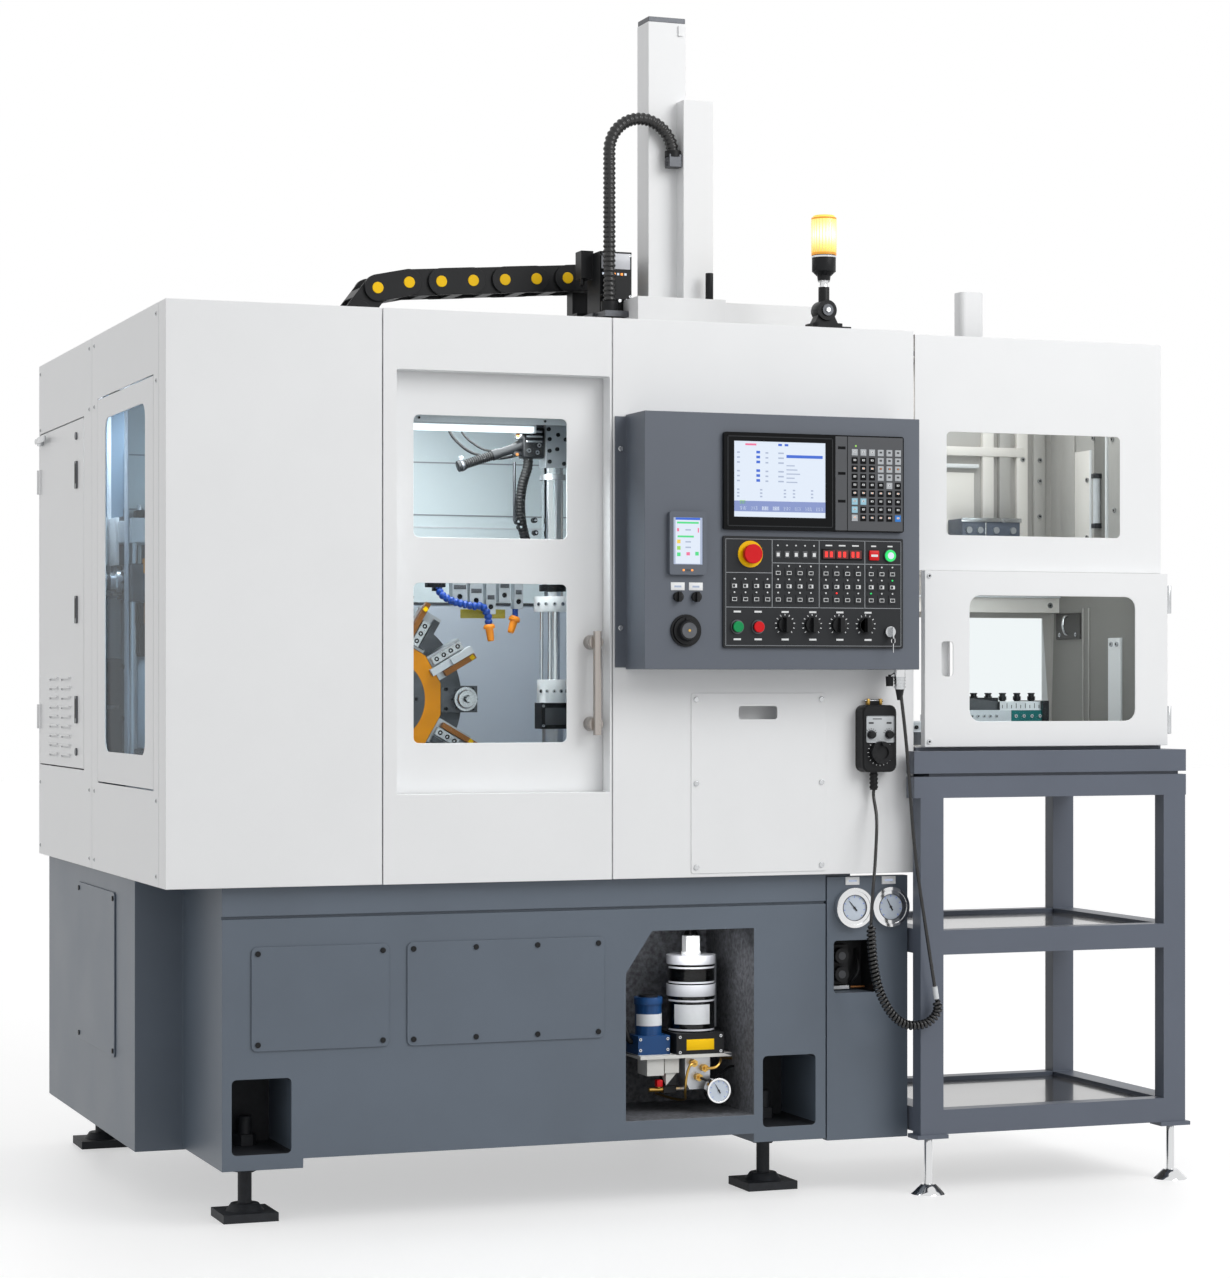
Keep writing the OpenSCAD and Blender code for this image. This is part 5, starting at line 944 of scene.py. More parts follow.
def lubrication():
    """Labels left bare, lines, fittings and the dial of the lubrication unit."""
    build = Build()
    motor_x, jar_x, y, motor_r, jar_r = 1128, 1231, 155, 30.1, 53.1
    build.shell((motor_x, y, 382), motor_r, 26, 190, 350, PALE)
    build.shell((jar_x, y, 384), jar_r, 44, 205, 300, PALE)
    for z in (369, 434, 475, 508):
        build.shell((jar_x, y, z), jar_r, 4, 180, 360, BAND_GREY)
    build.block((1198, 97.2, 328), (1264, 98, 352), YELLOW, 0.3)
    dial(build, (1264, 71, 239), 23.5, 120)
    build.screws((1095, 1160), (117,), (330, 354), FRONT, 3.4, height=2)
    build.screws((1182, 1280), (98,), (324, 358), FRONT, 3.4, height=2)
    for x, z in ((1215, 299), (1241, 287), (1227, 267)):
        build.rod((x, 93, z), (x, 100, z), 9, BRASS, sides=6)
        build.rod((x, 86, z), (x, 93, z), 4, BRASS, sides=12)
    build.pipe([(1215, 87, 299), (1200, 82, 296), (1192, 84, 270), (1194, 96, 236), (1206, 130, 215),
                (1206, 200, 208), (1206, 309, 206)], 3, BRASS, 8)
    build.pipe([(1241, 87, 287), (1262, 82, 290), (1276, 90, 300), (1290, 120, 305), (1318, 150, 300),
                (1331.5, 160, 298)], 3, BRASS, 8)
    build.pipe([(1227, 87, 267), (1240, 80, 262), (1256, 86, 262), (1280, 110, 268), (1316, 140, 280),
                (1331.5, 146, 282)], 3, PLASTIC, 8)
    build.pipe([(1028.5, 190, 420), (1050, 186, 418), (1068, 172, 400), (1076, 160, 372), (1082, 156, 350),
                (1090.5, 155, 346)], 6, RUBBER)
    build.block((1136, 120, 246), (1150, 136, 262), RED, 2)
    build.rod((1143, 128, 244), (1143, 128, 250), 4, BRASS, sides=12)
    build.rod((1292, 308, 566), (1292, 310, 566), 20, RUBBER, sides=32)
    build.band((1292, 309, 566), FRONT, 18, 23, 5, DARK_STEEL)
    build.rod((motor_x, y, 445), (motor_x, y, 450), 22, PLASTIC, sides=32)
    build.pipe([(jar_x, y, 578), (jar_x, y + 3, 588), (1244, 170, 594), (1262, 200, 588), (1282, 270, 572),
                (1292, 306, 566)], 3.5, RUBBER, 8)
    build.piece("lubrication_trim", "machine")


# Work area: the guide post's axis, the tool bar's left end and height, and the rear wall
POST_X, POST_Y = 924, 220
BAR_X, BAR_Z = 644, 1374
WORK_REAR = 700


def turret_trim():
    """Screws in the clamping bars, tool tips and sockets on the hub of the turret."""
    build = Build()
    for k in range(STATIONS):
        if k % 3:
            count, across = (4, 17) if k % 3 == 1 else (3, 0)
            for i in range(count):
                along = HEAD_R + 5 + 19 * (i + 0.5)
                foot, head, socket = (holder_place(k, along, across, height) for height in (68, 73, 73.3))
                build.rod(foot, head, 5.1, PLASTIC, sides=16)
                build.rod(head, socket, 2.6, STEEL, sides=6)
            tip = (HEAD_R + 97, -21.5, 66) if k % 3 == 1 else (HEAD_R + 94, 18, 68)
            foot, head = (holder_place(k, tip[0] - 8, tip[1], tip[2] + rise) for rise in (5, 9))
            build.rod(foot, head, 7, YELLOW, sides=4)
        else:
            middle = HEAD_R + 55
            for way in map(ray, around(8)):
                spot = (middle + 26.5 * way[0], 26.5 * way[1])
                build.rod(holder_place(k, *spot, 61), holder_place(k, *spot, 72), 2.4, DARK_STEEL, sides=8)
            build.rod(holder_place(k, middle, 0, 66), holder_place(k, middle, 0, 98), 6.5, STEEL, sides=20)
            for along, side in product((HEAD_R + 12, HEAD_R + 74), (-22, 22)):
                foot, head = (holder_place(k, along, side, height) for height in (60, 63))
                build.rod(foot, head, 4.5, PLASTIC, sides=6)
    for k in range(0, STATIONS, 2):
        along = HUB_R - 22
        build.rod(holder_place(k, along, 0, 74), holder_place(k, along, 0, 74.4), 4, PLASTIC, sides=6)
    build.band(holder_place(0, 0, 0, 68), FRONT, 24, 26, 1.2, STEEL)
    build.piece("turret_trim", "turret")


def work_area():
    """Walls and seams of the lining, the lens of the light bar, screws and small blocks in the work area."""
    build = Build()
    low, high = span("work_liner")
    build.block((low.x + 4, WORK_REAR - 1, 1338), (high.x - 4, WORK_REAR, high.z - 4), LINER_TOP)
    for z, thick, finish in ((1332, 6, KEYPAD), (1514, 3, PALE), (1543, 3, LINE), (1667, 3, LINE)):
        build.block((low.x + 4, WORK_REAR - 3, z), (high.x - 4, WORK_REAR, z + thick), finish)
    build.screws(range(470, 1100, 90), (WORK_REAR,), (1350,), FRONT, 5)
    low, high = span("work_light")
    build.block((low.x - 20, low.y - 4, low.z + 4), (high.x + 122, low.y, low.z + 25), PALE, 1)
    build.block((low.x + 3, low.y + 1, low.z - 13), (high.x - 3, low.y + 30, low.z + 2), LIGHT, 3)
    build.block((high.x - 3, low.y + 2, low.z - 14), (high.x + 2, low.y + 30, low.z + 4), PALE, 1)
    build.screws((low.x + 60, high.x + 20, high.x + 80), (low.y - 4,), (low.z + 12,), FRONT, 3, DARK_STEEL, 1.5)
    for left, wide, tall in ((42, 34, 52), (82, 30, 60), (120, 22, 74), (150, 26, 48), (186, 20, 62)):
        x, z = BAR_X + left + wide / 2, BAR_Z - tall + 16
        build.rod((x, 215, z), (x, 209, z), 5.6, PLASTIC, sides=20)
        build.block((x - wide / 2 + 3, 205.6, z + 16), (x + wide / 2 - 3, 207.1, z + 26), KEYPAD, 0.4)
    build.screws(range(BAR_X + 20, 900, 47), (205,), (1391,), FRONT, 6, PLASTIC, 4)
    build.block((715, 235, 1291), (818, 245, 1311), OLIVE, 1.5)
    for k in range(6):
        way = ray(205 + 26 * k)
        for r, z in ((42, 1323), (35, 1129)):
            build.screw((POST_X + r * way[0], POST_Y + r * way[1], z), (*way, 0), 4.2, STEEL, 2)
    build.block((898, 194.6, 1054), (948, 196.2, 1092), KEYPAD, 0.8)
    build.screws((894, 954), (196,), (1052, 1096), FRONT, 3, height=1.5)
    for x, z in ((908, 1640), (942, 1636), (908, 1664), (926, 1668), (908, 1690), (946, 1690), (906, 1712),
                 (928, 1700)):
        build.screw((x, 196, z), FRONT, 4.6, PLASTIC, 4)
    build.band((POST_X, POST_Y, 1600), UP, 24, 29, 12, ALU)
    build.band((POST_X, POST_Y, 1352), UP, 24, 30, 14, PLASTIC)
    build.piece("work_area_trim", "machine")


def nozzle(build, start, way):
    """An orange nozzle with its collar."""
    start, way = Vector(start), Vector(way)
    build.rod(start, start + way * 0.12, 10, NOZZLE, r_end=13)
    build.rod(start + way * 0.12, start + way * 0.26, 13, NOZZLE, sides=12)
    build.rod(start + way * 0.26, start + way * 0.92, 9, NOZZLE, r_end=7.6)
    build.rod(start + way * 0.92, start + way, 7.6, NOZZLE, r_end=6)


def work_hoses():
    """Hoses, nozzles, the nozzle arm, the junction box and the two thin cables of the work area."""
    build = Build()
    left, post, y = BAR_X, POST_X, POST_Y
    line = [(left + 10, y, 1360), (left + 18, y - 16, 1340), (left + 42, y - 28, 1326),
            (left + 83, y - 28, 1317), (left + 105, y - 28, 1316), (left + 118, y - 28, 1299),
            (left + 121, y - 28, 1277)]
    ribbed(build, line, 11, (6.4, 8.4, 9.2, 8.2), BLUE)
    build.rod((left + 192, y, 1311.8), (left + 192, y, 1294), 6.5, BLUE)
    nozzle(build, line[-1], (5.1, 0, -37.4))
    nozzle(build, (left + 192, y, 1295), (-12, -2, -36))
    build.block((left - 14, y - 15, 1358), (left + 26, y + 15, 1373.8), PLASTIC, 2)
    build.rod((left + 10, y, 1350), (left + 10, y, 1360), 12, PLASTIC, sides=6)
    low, high = (post - 78, y - 20, 1648), (post - 24.5, y + 20, 1730)
    build.block((low[0] + 4, low[1] + 3, low[2]), (high[0], high[1], high[2] - 14), PLASTIC, 3)
    build.block((low[0] + 10, low[1] + 8, high[2] - 16), (high[0], high[1], high[2]), DARK_STEEL, 2)
    for z in (high[2] - 26, high[2] - 37, high[2] - 48):
        build.block((low[0] + 10, low[1], z), (high[0] - 6, low[1] + 3, z + 5), STEEL, 1)
    for x, z in ((low[0] + 16, 1664), (low[0] + 36, 1660), (low[0] + 40, 1676)):
        build.screw((x, low[1] + 3, z), FRONT, 5, STEEL, 3)
    build.block((low[0] - 10, y - 6, 1690), (low[0] + 5, y + 12, 1706), STEEL, 2)
    build.rod((low[0] - 6, y - 10, 1698), (low[0] - 6, y - 6, 1698), 5, BRONZE, sides=6)
    build.block((low[0] - 16, y - 10, 1652), (low[0] + 4, y + 6, 1662), PLASTIC, 2)
    build.rod((low[0] - 9, y - 12, 1655), (low[0] - 9, y - 10, 1655), 3.5, BRONZE, sides=12)
    ribbed(build, [(post - 58, y, 1650), (post - 59, y, 1628), (post - 70, y, 1592), (post - 76, y, 1550),
                   (post - 73, y, 1505), (post - 63, y, 1462), (post - 58, y, 1430), (post - 58, y, 1408.2)],
           7, (10.4, 11.4, 11.4, 10.4), RUBBER)
    build.rod((post - 84, y + 18, 1508), (post - 84, y + 18, 1640), 3.4, DARK_STEEL, sides=12)
    for x, z in ((post - 84, 1506), (post - 78, 1494), (post - 44, 1510), (post - 42, 1482)):
        build.rod((x, y + 6, z), (x, y - 8, z), 6, PLASTIC, sides=12)
        build.rod((x, y - 8, z), (x, y - 11, z), 3, STEEL, sides=6)
    start, way = Vector((post - 70, y, 1676)), Vector((-3, 0, -1)).normalized()
    build.rod(start, start + way * 62, 10.6, PLASTIC, r_end=10)
    build.rod(start + way * 60, start + way * 76, 12, PLASTIC)
    ribbed(build, [start + way * d for d in (74, 94, 114, 134, 146)], 5, (8.6, 10.6, 10.6, 8.6), RUBBER)
    build.rod(start + way * 144, start + way * 160, 12.4, PLASTIC)
    build.band(start + way * 148, way, 12, 13.4, 5, DARK_STEEL)
    top = start + way * 152
    build.rod(top, top + Vector((-1, 0, 18)), 3.6, ALU, sides=12)
    build.rod(top + Vector((-1, -8, 18)), top + Vector((-1, 8, 18)), 3.2, ALU, sides=12)
    seen = build.piece("work_hoses", "machine", smooth=50)
    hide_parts("hoses")
    sensor = [(low[0] + 4.5, 234, 1657), (836, 238, 1653), (806, 246, 1648), (780, 247, 1650), (742, 247, 1660),
              (714, 247, 1678), (692, 247, 1704), (684, 247, 1742), (683, 247, 1788)]
    lit = [(low[0] + 4.5, 236, 1688), (838, 242, 1680), (820, 252, 1668), (782, 256, 1666), (750, 256, 1680),
           (724, 256, 1704), (713, 256, 1742), (711, 256, 1788)]
    for name, route, diameter in (("sensor_cable", sensor, 6.5), ("lamp_cable", lit, 5)):
        free_line(name, smooth_path(route, 5), diameter, RUBBER, "machine")


# Loader
def loader_inside():
    """Folds, rails, screws and boxes behind the loader's windows."""
    build = Build()
    high = span("loader_cabinet")[1]
    right, rear = high.x - 3, 527
    base, top = 1412, high.z - 186
    for x, finish in ((1850, WALL), (1960, WALL), (2150, WARM), (2196, WALL), (2244, WARM), (2292, WALL)):
        build.block((x, rear - 14, base), (x + 30, rear, top), finish, 1)
    for x, z in ((2259, 1700), (2307, 1700), (2306, 1648), (2306, 1560)):
        build.screw((x, rear - 14, z), FRONT, 6, STEEL, 4)
    build.block((1830, rear - 4, base), (2131, rear, 1665), WARM, 1)
    build.block((1830, rear - 12, 1676), (2140, rear, 1686), WHITE, 1)
    build.block((1830, rear - 16, 1706), (2262, rear, 1728), WARM, 1)
    build.block((2059, 446, base), (2217, rear - 4, 1548), STAND, 2)
    build.block((2056, 443, 1540), (2220, 446, 1550), STEEL, 1)
    build.block((2120, 443, base), (2124, 446, 1540), STEEL, 0.6)
    for x in (2076, 2106, 2150, 2196):
        build.rod((x, 440, 1520), (x, 446, 1520), 8, ALU, sides=20)
    # The panel from 246 to 300 on the right wall takes the painted shade
    for y0, y1, end, finish in ((398, 468, 1760, WALL), (318, 396, 1712, WARM), (246, 300, 1760, SHADED_WALL),
                                (176, 230, 1760, WALL)):
        build.block((right - 6, y0, base), (right, y1, end), finish, 1)
    build.block((right - 9, 312, base), (right, 318, 1712), WHITE, 1)
    build.block((right - 10, 232, base), (right, 240, 1790), WHITE, 1)
    for y, z in ((330, 1640), (330, 1500), (300, 1740), (292, 1650), (286, 1560), (208, 1730), (198, 1560)):
        build.screw((right - 6, y, z), LEFT, 6, STEEL, 4)
    build.rod((right - 14, 272, 1530), (right - 14, 272, 1640), 9, PALE, sides=20)
    for z in (1520, 1640):
        build.block((right - 24, 262, z), (right, 282, z + 12), DARK_STEEL, 1)
    build.screws((right - 5,), (390, 470), (1266,), LEFT, 5)
    build.screws((right - 5,), (190, 216), (1240,), LEFT, 6, height=4)
    for y in (332, 360):
        build.block((right - 3, y, 1004), (right, y + 3, 1330), WALL, 0.6)
    build.screws((1810, 2050, 2320), (484,), (1339,), FRONT, 7)
    build.pipe([(right - 6, 432, 1312), (right - 16, 432, 1306), (right - 18, 432, 1286),
                (right - 12, 432, 1270), (right - 5, 432, 1266)], 3.5, CHROME)
    build.block((1750, 466, 1357), (2340, 484.2, 1361), PALE, 0.6)
    build.piece("loader_inside", "machine")


def stocker_trim():
    """Caps of the clamp knobs, screws and scales on the stocker."""
    build = Build()
    left, y, z = 1931, 210, 1121
    for i in range(6):
        x = left + 38 * i
        build.rod((x, y, z), (x, y, z + 3), 8.6, PLASTIC, sides=12)
        build.band((x, y, z - 14), UP, 6.8, 9.4, 9, PLASTIC, sides=12)
    build.screws(range(1936, 2001, 16), (154,), (1070,), FRONT, 4)
    build.screws(range(2050, 2114, 21), (153,), (1070,), FRONT, 4)
    for i in range(9):
        build.block((2016 + 12 * i, 155.4, 1088), (2017.4 + 12 * i, 156.1, 1096 + 4 * (i % 2)), PLASTIC)
    build.screws(range(1760, 2113, 32), (152,), (1045,), FRONT, 4.5, PLASTIC, 3)
    for x in (1804, 1894):
        build.band((x, 290, 1073), UP, 8, 20, 3, STEEL)
        build.rod((x, 290, 1073), (x, 290, 1082), 7, PLASTIC, sides=6)
    build.piece("stocker_trim", "machine")


# Arm and carriage
def arm_conduit():
    """The corrugated conduit from the carriage to the arm's duct."""
    low, high = span("arm_hose")
    r = (high.y - low.y) / 2
    x, y = low.x + r, (low.y + high.y) / 2
    bend = 78
    top = high.z - r - bend
    pitch = 11
    path, radii = [], []

    def ridge(spot, share):
        path.append(spot)
        radii.append(r * (1.0 if share in (1, 2) else 0.84))

    rows = round((top - low.z) / pitch)
    for i in range(rows):
        for share in range(4):
            ridge((x, y, low.z + (top - low.z) * (i + share / 4) / rows), share)
    arcs = round(math.pi * bend / pitch)
    for i in range(arcs):
        for share in range(4):
            turn = math.pi * (1 - (i + share / 4) / arcs)
            ridge((x + bend + bend * math.cos(turn), y, top + bend * math.sin(turn)), share)
    ridge((x + 2 * bend, y, top), 0)
    build = Build()
    build.tube(path, radii, CORD, sides=20)
    build.band((x, y, low.z), UP, r * 0.9, r + 5, 22, PLASTIC)
    hose = build.piece("arm_conduit", None, smooth=60)
    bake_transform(hose)
    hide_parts("arm_hose")
    build = Build()
    build.band((x + 2 * bend, y, top - 6), UP, r * 0.9, r + 4, 14, PLASTIC)
    for k in range(3):
        build.band((x + 2 * bend, y, top - 26 + 7 * k), UP, 15.2, 17.5, 4, DARK_STEEL, sides=6)
    build.piece("conduit_gland", "arm")


def cap_places():
    """The middles of the chain's front caps, where they stand on the links."""
    caps = []
    mesh = nodes["cable_chain"].data
    for face in mesh.polygons:
        if face.material_index == 1 and face.normal.y < -0.9:
            spots = [mm(mesh.vertices[v].co) for v in face.vertices]
            near = [cap for cap in caps if (cap[0] - spots[0]).length < 30]
            if near:
                near[0].extend(spots)
            else:
                caps.append(spots)
    middles = [[(min(p[i] for p in cap) + max(p[i] for p in cap)) / 2 for i in range(3)] for cap in caps]
    return [(x, y + 4, z) for x, y, z in middles]


def carriage_trim():
    """Lamps, connectors and screws on the drive, discs on the chain's links, and the wire loop on the arm."""
    build = Build()
    for k in range(7):
        build.block((1090 + 9 * k, 346.6, 2084), (1095 + 9 * k, 348, 2089), LED_AMBER if k % 2 else SCREEN)
    build.block((1088, 347, 2098), (1158, 348.2, 2134), BAND_GREY, 1)
    for k in range(4):
        build.rod((1094 + 17 * k, 340, 2024), (1094 + 17 * k, 348, 2024), 6, PLASTIC, sides=16)
        build.rod((1094 + 17 * k, 334, 2024), (1094 + 17 * k, 340, 2024), 4, STEEL, sides=12)
    build.screws((1088, 1158), (348,), (2036, 2130), FRONT, 3, height=1.5)
    for plug in ((1062, 406), (1065, 416), (1068, 426)):
        build.rod((*plug, 2080), (*plug, 2066), 5, PLASTIC, sides=12)
    for spot in cap_places():
        build.band(spot, FRONT, 14, 29, 1.6, DISC, sides=40)
        build.band(spot, FRONT, 29, 30.6, 0.6, BEZEL, sides=40)
    build.piece("carriage_trim", "carriage")
    build = Build()
    top = span("arm_column")[1].z
    edge = max(spot.x for spot in (mm(v.co) for v in nodes["arm_column"].data.vertices) if spot.z > top - 20)
    loop = [(edge + out, 380, top - fall) for out, fall in ((0, 12), (7, 13), (8, 28), (7, 43), (0, 44))]
    build.pipe(loop, 1.8, DARK_STEEL)
    build.piece("arm_loop", "arm")


# Pendant, signal light and outer panels
def pendant_trim():
    """The pale plate, dial marks and hook of the hand pendant."""
    build = Build()
    wheel = (1608, 992)
    face = span("pendant")[0].y + 12
    build.block((1574, face - 0.8, 1014), (1642, face, 1074), PLATE, 3)
    for x in (1586, 1630):
        build.band((x, face - 0.8, 1032), FRONT, 8.4, 10.5, 1, DARK_STEEL)
        build.rays((x, face - 1.1, 1032), [20 + 23.3 * k for k in range(7)], 12, 14.5, 0.7, PLASTIC)
        build.block((x - 6, face - 1.2, 1056), (x + 6, face - 0.8, 1060), KEYS)
    build.block((1590, face - 1.2, 1066), (1612, face - 0.8, 1068), KEYS)
    build.rays((wheel[0], face - 0.4, wheel[1]), around(20), 27.5, 30.5, 0.8, MARK)
    for x in (1590, 1620):
        build.block((x, -14, 1098), (x + 6, -2, 1112), BRASS, 1)
    build.rod((1586, -8, 1108), (1630, -8, 1108), 3, STEEL, sides=16)
    build.piece("pendant_trim", "machine")
    build = Build()
    face = span("handwheel")[0].y + 12
    build.band((wheel[0], face, wheel[1]), FRONT, 17, 23, 0.6, STEEL)
    build.rays((wheel[0], face - 1, wheel[1]), around(10), 18, 22, 0.7, PLASTIC)
    build.piece("handwheel_dial", "handwheel")


def cord_trim():
    """The small cap that hangs beside the cord's connector."""
    build = Build()
    cap = (1624, -56)
    build.rod((1640, -60, 1174), (*cap, 1162), 1.2, PLASTIC, sides=8)
    build.rod((*cap, 1140), (*cap, 1162), 8, PLASTIC, sides=20, r_end=9)
    build.rod((*cap, 1160), (*cap, 1166), 3, PLASTIC, sides=12)
    build.piece("connector_cap", "machine")


def lamp_trim():
    """The rims and ribs of the signal light's lens and the screw of its tilting joint."""
    low, high = span("signal_lens")
    x, y, r = (low.x + high.x) / 2, (low.y + high.y) / 2, (high.x - low.x) / 2
    build = Build()
    build.band((x, y, low.z), UP, r - 1, r + 0.4, 5, LENS_RIM, sides=48)
    build.band((x, y, high.z - 9), UP, r - 1, r + 0.4, 4, LENS_RIM, sides=48)
    build.band((x, y, low.z - 6), UP, r - 2, r + 0.2, 4, CHROME, sides=48)
    for way in map(ray, around(24)):
        spot = (x + (r - 0.2) * way[0], y + (r - 0.2) * way[1])
        build.rod((*spot, low.z + 6), (*spot, high.z - 10), 0.9, LENS_RIB, sides=6)
    build.rod((x, y - 24, 1986), (x, y - 20, 1986), 13, DARK_STEEL, sides=32)
    build.rod((x, y - 27, 1986), (x, y - 24, 1986), 6, STEEL, sides=6)
    build.piece("signal_light_trim", "machine")


def panel_screws():
    """Screws of the sheet panels at the sides, the rear and on the roof, and the bolted rear covers."""
    build = Build()
    rear, roof, side = span("rear_shell")[1].y, 1835, 1711
    loader_rear, loader_side = 530, 2349
    for x in (260, 860):
        build.block((x, rear, 860), (x + 480, rear + 3, 1420), WHITE, 1)
        build.screws(range(x + 18, x + 463, 148), (rear + 3,), (876, 1404), BACK, 6)
        build.screws((x + 18, x + 462), (rear + 3,), (1050, 1230), BACK, 6)
    for k in range(12):
        build.block((1000, rear + 3, 930 + 24 * k), (1200, rear + 7, 934 + 24 * k), WHITE, 1)
        build.block((1000, rear + 2.4, 922 + 24 * k), (1200, rear + 3.4, 929 + 24 * k), PLASTIC)
    build.screws(range(60, 1700, 200), (rear,), (742, 1922), BACK, 5)
    build.screws(range(90, 1700, 260), (60, 1440), (roof,), UP, 5)
    build.block((420, 760, roof), (1060, 1320, roof + 4), WHITE, 1)
    build.screws((440, 740, 1040), (780, 1300), (roof + 4,), UP, 6)
    for k in range(10):
        build.block((540, 860 + 40 * k, roof + 4), (940, 872 + 40 * k, roof + 8), WHITE, 1)
        build.block((540, 874 + 40 * k, roof + 3.4), (940, 886 + 40 * k, roof + 4.4), PLASTIC)
    build.screws((side,), range(60, 1480, 235), (742,), RIGHT, 5)
    build.screws((0,), (90, 760, 820, 1458), (742, 900, 1780, 1920), LEFT, 4.5, height=1.6)
    build.screws((loader_side,), (40, 490), (1420, 1680, 1915), RIGHT, 5)
    build.screws((1735, 1940, 2140, 2330), (loader_rear,), (1330, 1915), BACK, 5)
    build.piece("panel_screws", "machine")


def side_view():
    """Machinery seen through the left side window, before the electric cabinet and in the work area."""
    build = Build()
    wall, rear = span("rear_shell")[0].x, 874.6
    build.block((wall + 4, rear - 6, 740), (330, rear, 1820), INNER_BLUE, 1)
    build.block((30, rear - 12, 1350), (62, rear - 6, 1800), PALE, 1)
    build.block((98, rear - 16, 1560), (250, rear - 6, 1690), INNER_PALE, 2)
    build.screws((106,), (rear - 16,), (1580, 1670), FRONT, 4)
    build.block((64, 770, 1471), (250, rear - 6, 1521), PALE, 3)
    build.block((78, 780, 1521), (200, 850, 1534), PLASTIC, 2)
    for x in (84, 104, 124, 150):
        build.rod((x, 800, 1534), (x, 800, 1550), 7, PLASTIC, sides=6)
        build.rod((x, 800, 1550), (x, 800, 1556), 3.5, STEEL, sides=12)
    build.block((57, 790, 1420), (66, rear - 6, 1530), WHITE, 1)
    build.rod((90, 806, 1400), (90, 806, 1472), 9, CHROME)
    axis = (800, 1379)
    for x0, x1, r, finish in ((100, 190, 36, STEEL), (72, 102, 42, DARK_STEEL), (58, 74, 34, STEEL),
                              (44, 60, 24, CHROME), (36, 46, 18, DARK_STEEL)):
        build.rod((x0, *axis), (x1, *axis), r, finish, sides=40)
    for way in map(ray, around(10)):
        spot = (axis[0] + 36 * way[0], axis[1] + 36 * way[1])
        build.rod((71, *spot), (66, *spot), 4, PLASTIC, sides=6)
    build.block((108, 780, 1330), (190, rear - 6, 1428), KEYS, 4)
    build.block((110, 760, 1424), (150, 790, 1462), ORANGE, 3)
    build.block((108, 764, 1296), (150, 800, 1330), BRONZE, 3)
    build.block((106, 790, 1210), (250, rear - 6, 1330), PLASTIC, 3)
    build.rod((90, 806, 960), (90, 806, 1345), 10.5, BRUSHED)
    for z in (1060, 1180):
        build.band((90, 806, z), UP, 10, 15, 10, DARK_STEEL)
    build.block((30, rear - 14, 1205), (84, rear - 6, 1345), INNER_PALE, 1)
    build.block((30, rear - 18, 960), (88, rear - 6, 1204), INNER_DARK, 2)
    build.block((36, rear - 21, 1086), (80, rear - 18, 1096), STEEL, 1)
    build.block((104, rear - 14, 960), (250, rear - 6, 1208), INNER_PALE, 1)
    build.block((70, 786, 944), (250, rear - 6, 962), KEYS, 2)
    build.block((76, 786, 940), (110, 826, 990), DARK_STEEL, 2)
    left = span("work_liner")[0].x + 4
    for low, high, finish in (((0, 640, 1466), (52, 697, 1522), PALE),
                              ((14, 650, 1522), (50, 690, 1540), PLASTIC),
                              ((0, 636, 1332), (40, 697, 1418), DARK_STEEL),
                              ((30, 640, 1418), (50, 680, 1462), KEYS),
                              ((26, 634, 1396), (50, 650, 1430), ORANGE),
                              ((28, 634, 1282), (50, 650, 1330), BRONZE),
                              ((20, 650, 1208), (52, 697, 1330), PLASTIC),
                              ((24, 690, 998), (52, 697, 1208), INNER_PALE),
                              ((10, 650, 972), (52, 697, 998), KEYS)):
        build.block((left + low[0], *low[1:]), (left + high[0], *high[1:]), finish, 2)
    for x, r, z0, z1 in ((12, 7, 1418, 1468), (9, 8, 980, 1334), (22, 5, 1540, 1552), (38, 5, 1540, 1552)):
        build.rod((left + x, 664, z0), (left + x, 664, z1), r, BRUSHED)
    build.piece("side_machinery", "machine")


def left_door():
    """The back of the louvres, the insets of the latches and the stay of the cabinet's door."""
    build = Build()
    low, high = span("cabinet_door")
    middle = (low.y + high.y) / 2
    build.block((3, middle - 180, low.z + 12), (4.5, middle + 180, low.z + 250), WHITE)
    for rise in (108, 344, 662):
        build.block((-4.8, 969.5, low.z + rise + 9), (-4, 980.5, low.z + rise + 56), PLASTIC, 0.3)
    build.block((-18, high.y - 150, high.z - 24), (-11, high.y - 26, high.z - 10), STEEL, 3)
    build.block((-12, high.y - 54, high.z - 28), (0, high.y - 26, high.z - 6), STEEL, 2)
    build.piece("cabinet_door_trim", "cabinet_door")


def pull_pocket():
    """The pocket behind the pull slot of the access cover."""
    build = Build()
    low, high = span("access_cover")
    middle = (low.x + high.x) / 2 - 3
    build.tray((middle - 66, 3, 1051), (middle + 66, 46, 1114), 2, 2, WHITE)
    build.piece("pull_pocket", "machine")


def door_screws():
    """Corner screws of the loader's door and the tray behind its pull."""
    build = Build()
    low, high = span("loader_door")
    build.screws((low.x + 11,), (low.y,), (low.z + 12, high.z - 12), FRONT, 5.5)
    left, base = low.x + 40, (low.z + high.z) / 2 - 42
    build.tray((left, high.y, base), (left + 33, 5.8, base + 83), 2, 1.4, WHITE)
    build.piece("loader_door_pull", "loader_door")


# Stage and light
FLOOR_SIZE = 60
FLOOR_TONE = 0.55
FLOOR_GLOW = 0.5
WORLD_LEVEL = 0.66
KEY_POWER = 260


def white_to_the_eye(tree):
    """A value that is 1 for rays that show the background: seen directly, mirrored or through glass."""
    path = new_node(tree, "LightPath")
    total = path.outputs["Is Camera Ray"]
    for name in ("Is Glossy Ray", "Is Transmission Ray"):
        add = new_node(tree, "Math")
        add.operation = "ADD"
        add.use_clamp = True
        tree.links.new(total, add.inputs[0])
        tree.links.new(path.outputs[name], add.inputs[1])
        total = add.outputs[0]
    return total


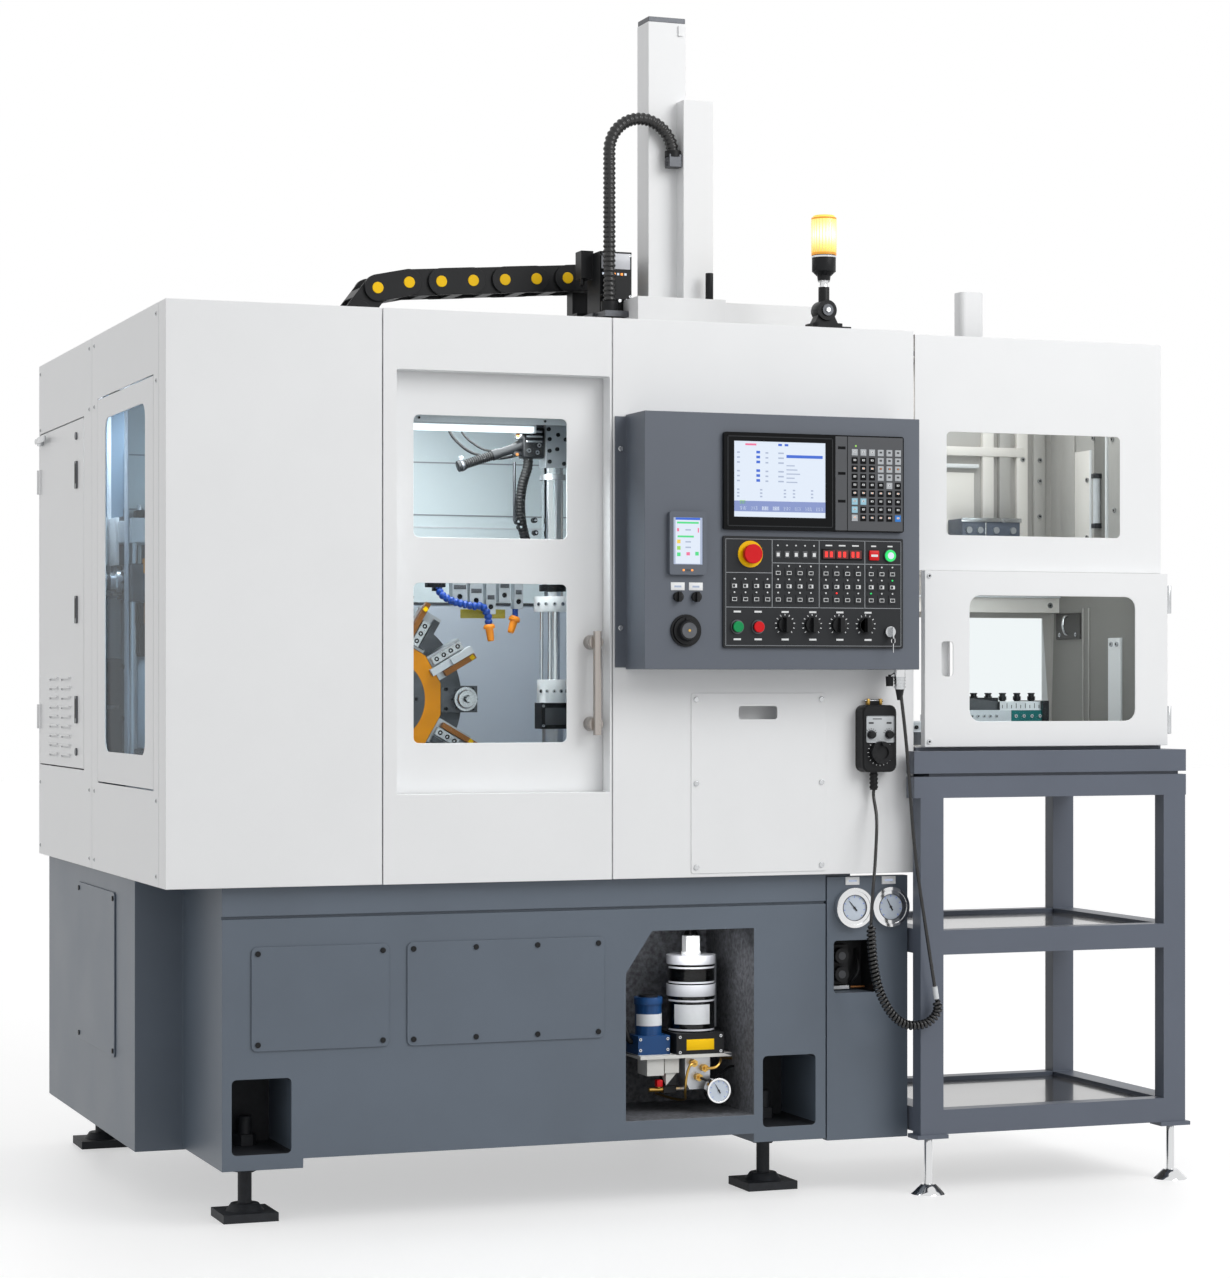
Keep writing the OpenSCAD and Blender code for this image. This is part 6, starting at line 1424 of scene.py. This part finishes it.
def studio():
    """A white world, a pale floor that keeps the shadow, a soft key light and small lamps in the machine."""
    world = bpy.data.worlds.new("studio")
    world.use_nodes = True
    tree = world.node_tree
    soft = fill(tree.nodes["Background"], Color=(1, 1, 1, 1), Strength=WORLD_LEVEL)
    seen = new_node(tree, "Background", Color=(1, 1, 1, 1), Strength=1.0)
    mix = new_node(tree, "MixShader")
    tree.links.new(white_to_the_eye(tree), mix.inputs[0])
    tree.links.new(soft.outputs[0], mix.inputs[1])
    tree.links.new(seen.outputs[0], mix.inputs[2])
    tree.links.new(mix.outputs[0], tree.nodes["World Output"].inputs["Surface"])
    bpy.context.scene.world = world

    bpy.ops.mesh.primitive_plane_add(size=FLOOR_SIZE)
    floor = bpy.context.object
    floor.name = "floor"
    made, tree, shader = new_material("floor_white")
    fill(shader, Base_Color=(FLOOR_TONE, FLOOR_TONE, FLOOR_TONE, 1), Roughness=0.5, Emission_Color=(1, 1, 1, 1))
    level = new_node(tree, "Math")
    level.operation = "MULTIPLY"
    level.inputs[1].default_value = FLOOR_GLOW
    tree.links.new(white_to_the_eye(tree), level.inputs[0])
    tree.links.new(level.outputs[0], shader.inputs["Emission Strength"])
    floor.data.materials.append(made)

    lamp("key", (4600, -5200, 5200), (900, 300, 900), 4.5, KEY_POWER)
    lamp("work_lamp", (700, 190, 1690), (700, 480, 1000), 0.3, 4)
    lamp("loader_lamp", (2030, 250, 1915), (2030, 280, 1000), 0.4, 1.6)
    lamp("loader_front_lamp", (2030, 40, 1385), (2030, 480, 1300), 0.2, 0.5)
    lamp("side_lamp", (200, 770, 1780), (80, 800, 1200), 0.12, 1.5)
    lamp("bay_lamp", (1180, 60, 590), (1180, 200, 380), 0.12, 0.35)


def lamp(name, place, target, size, power):
    """A square soft light that looks at a target, places in millimetres, its size in metres."""
    data = bpy.data.lights.new(name, "AREA")
    data.size = size
    data.energy = power
    made = bpy.data.objects.new(name, data)
    made.location = at(*place)
    made.rotation_euler = (at(*target) - at(*place)).to_track_quat("-Z", "Y").to_euler()
    bpy.context.scene.collection.objects.link(made)


camera()
pendant_cord()
work_hoses()
dress_nodes()
for make in (screens, key_marks, panel_lines, switch_trim, gauge_faces, regulator, lubrication, turret_trim,
             work_area, loader_inside, stocker_trim, arm_conduit, carriage_trim, pendant_trim, cord_trim,
             lamp_trim, panel_screws, side_view, left_door, pull_pocket, door_screws):
    make()
for name in sorted(nodes):
    if name not in ("pendant_cord", "hoses"):
        soften(name)
studio()

bpy.context.scene.view_settings.view_transform = "Standard"
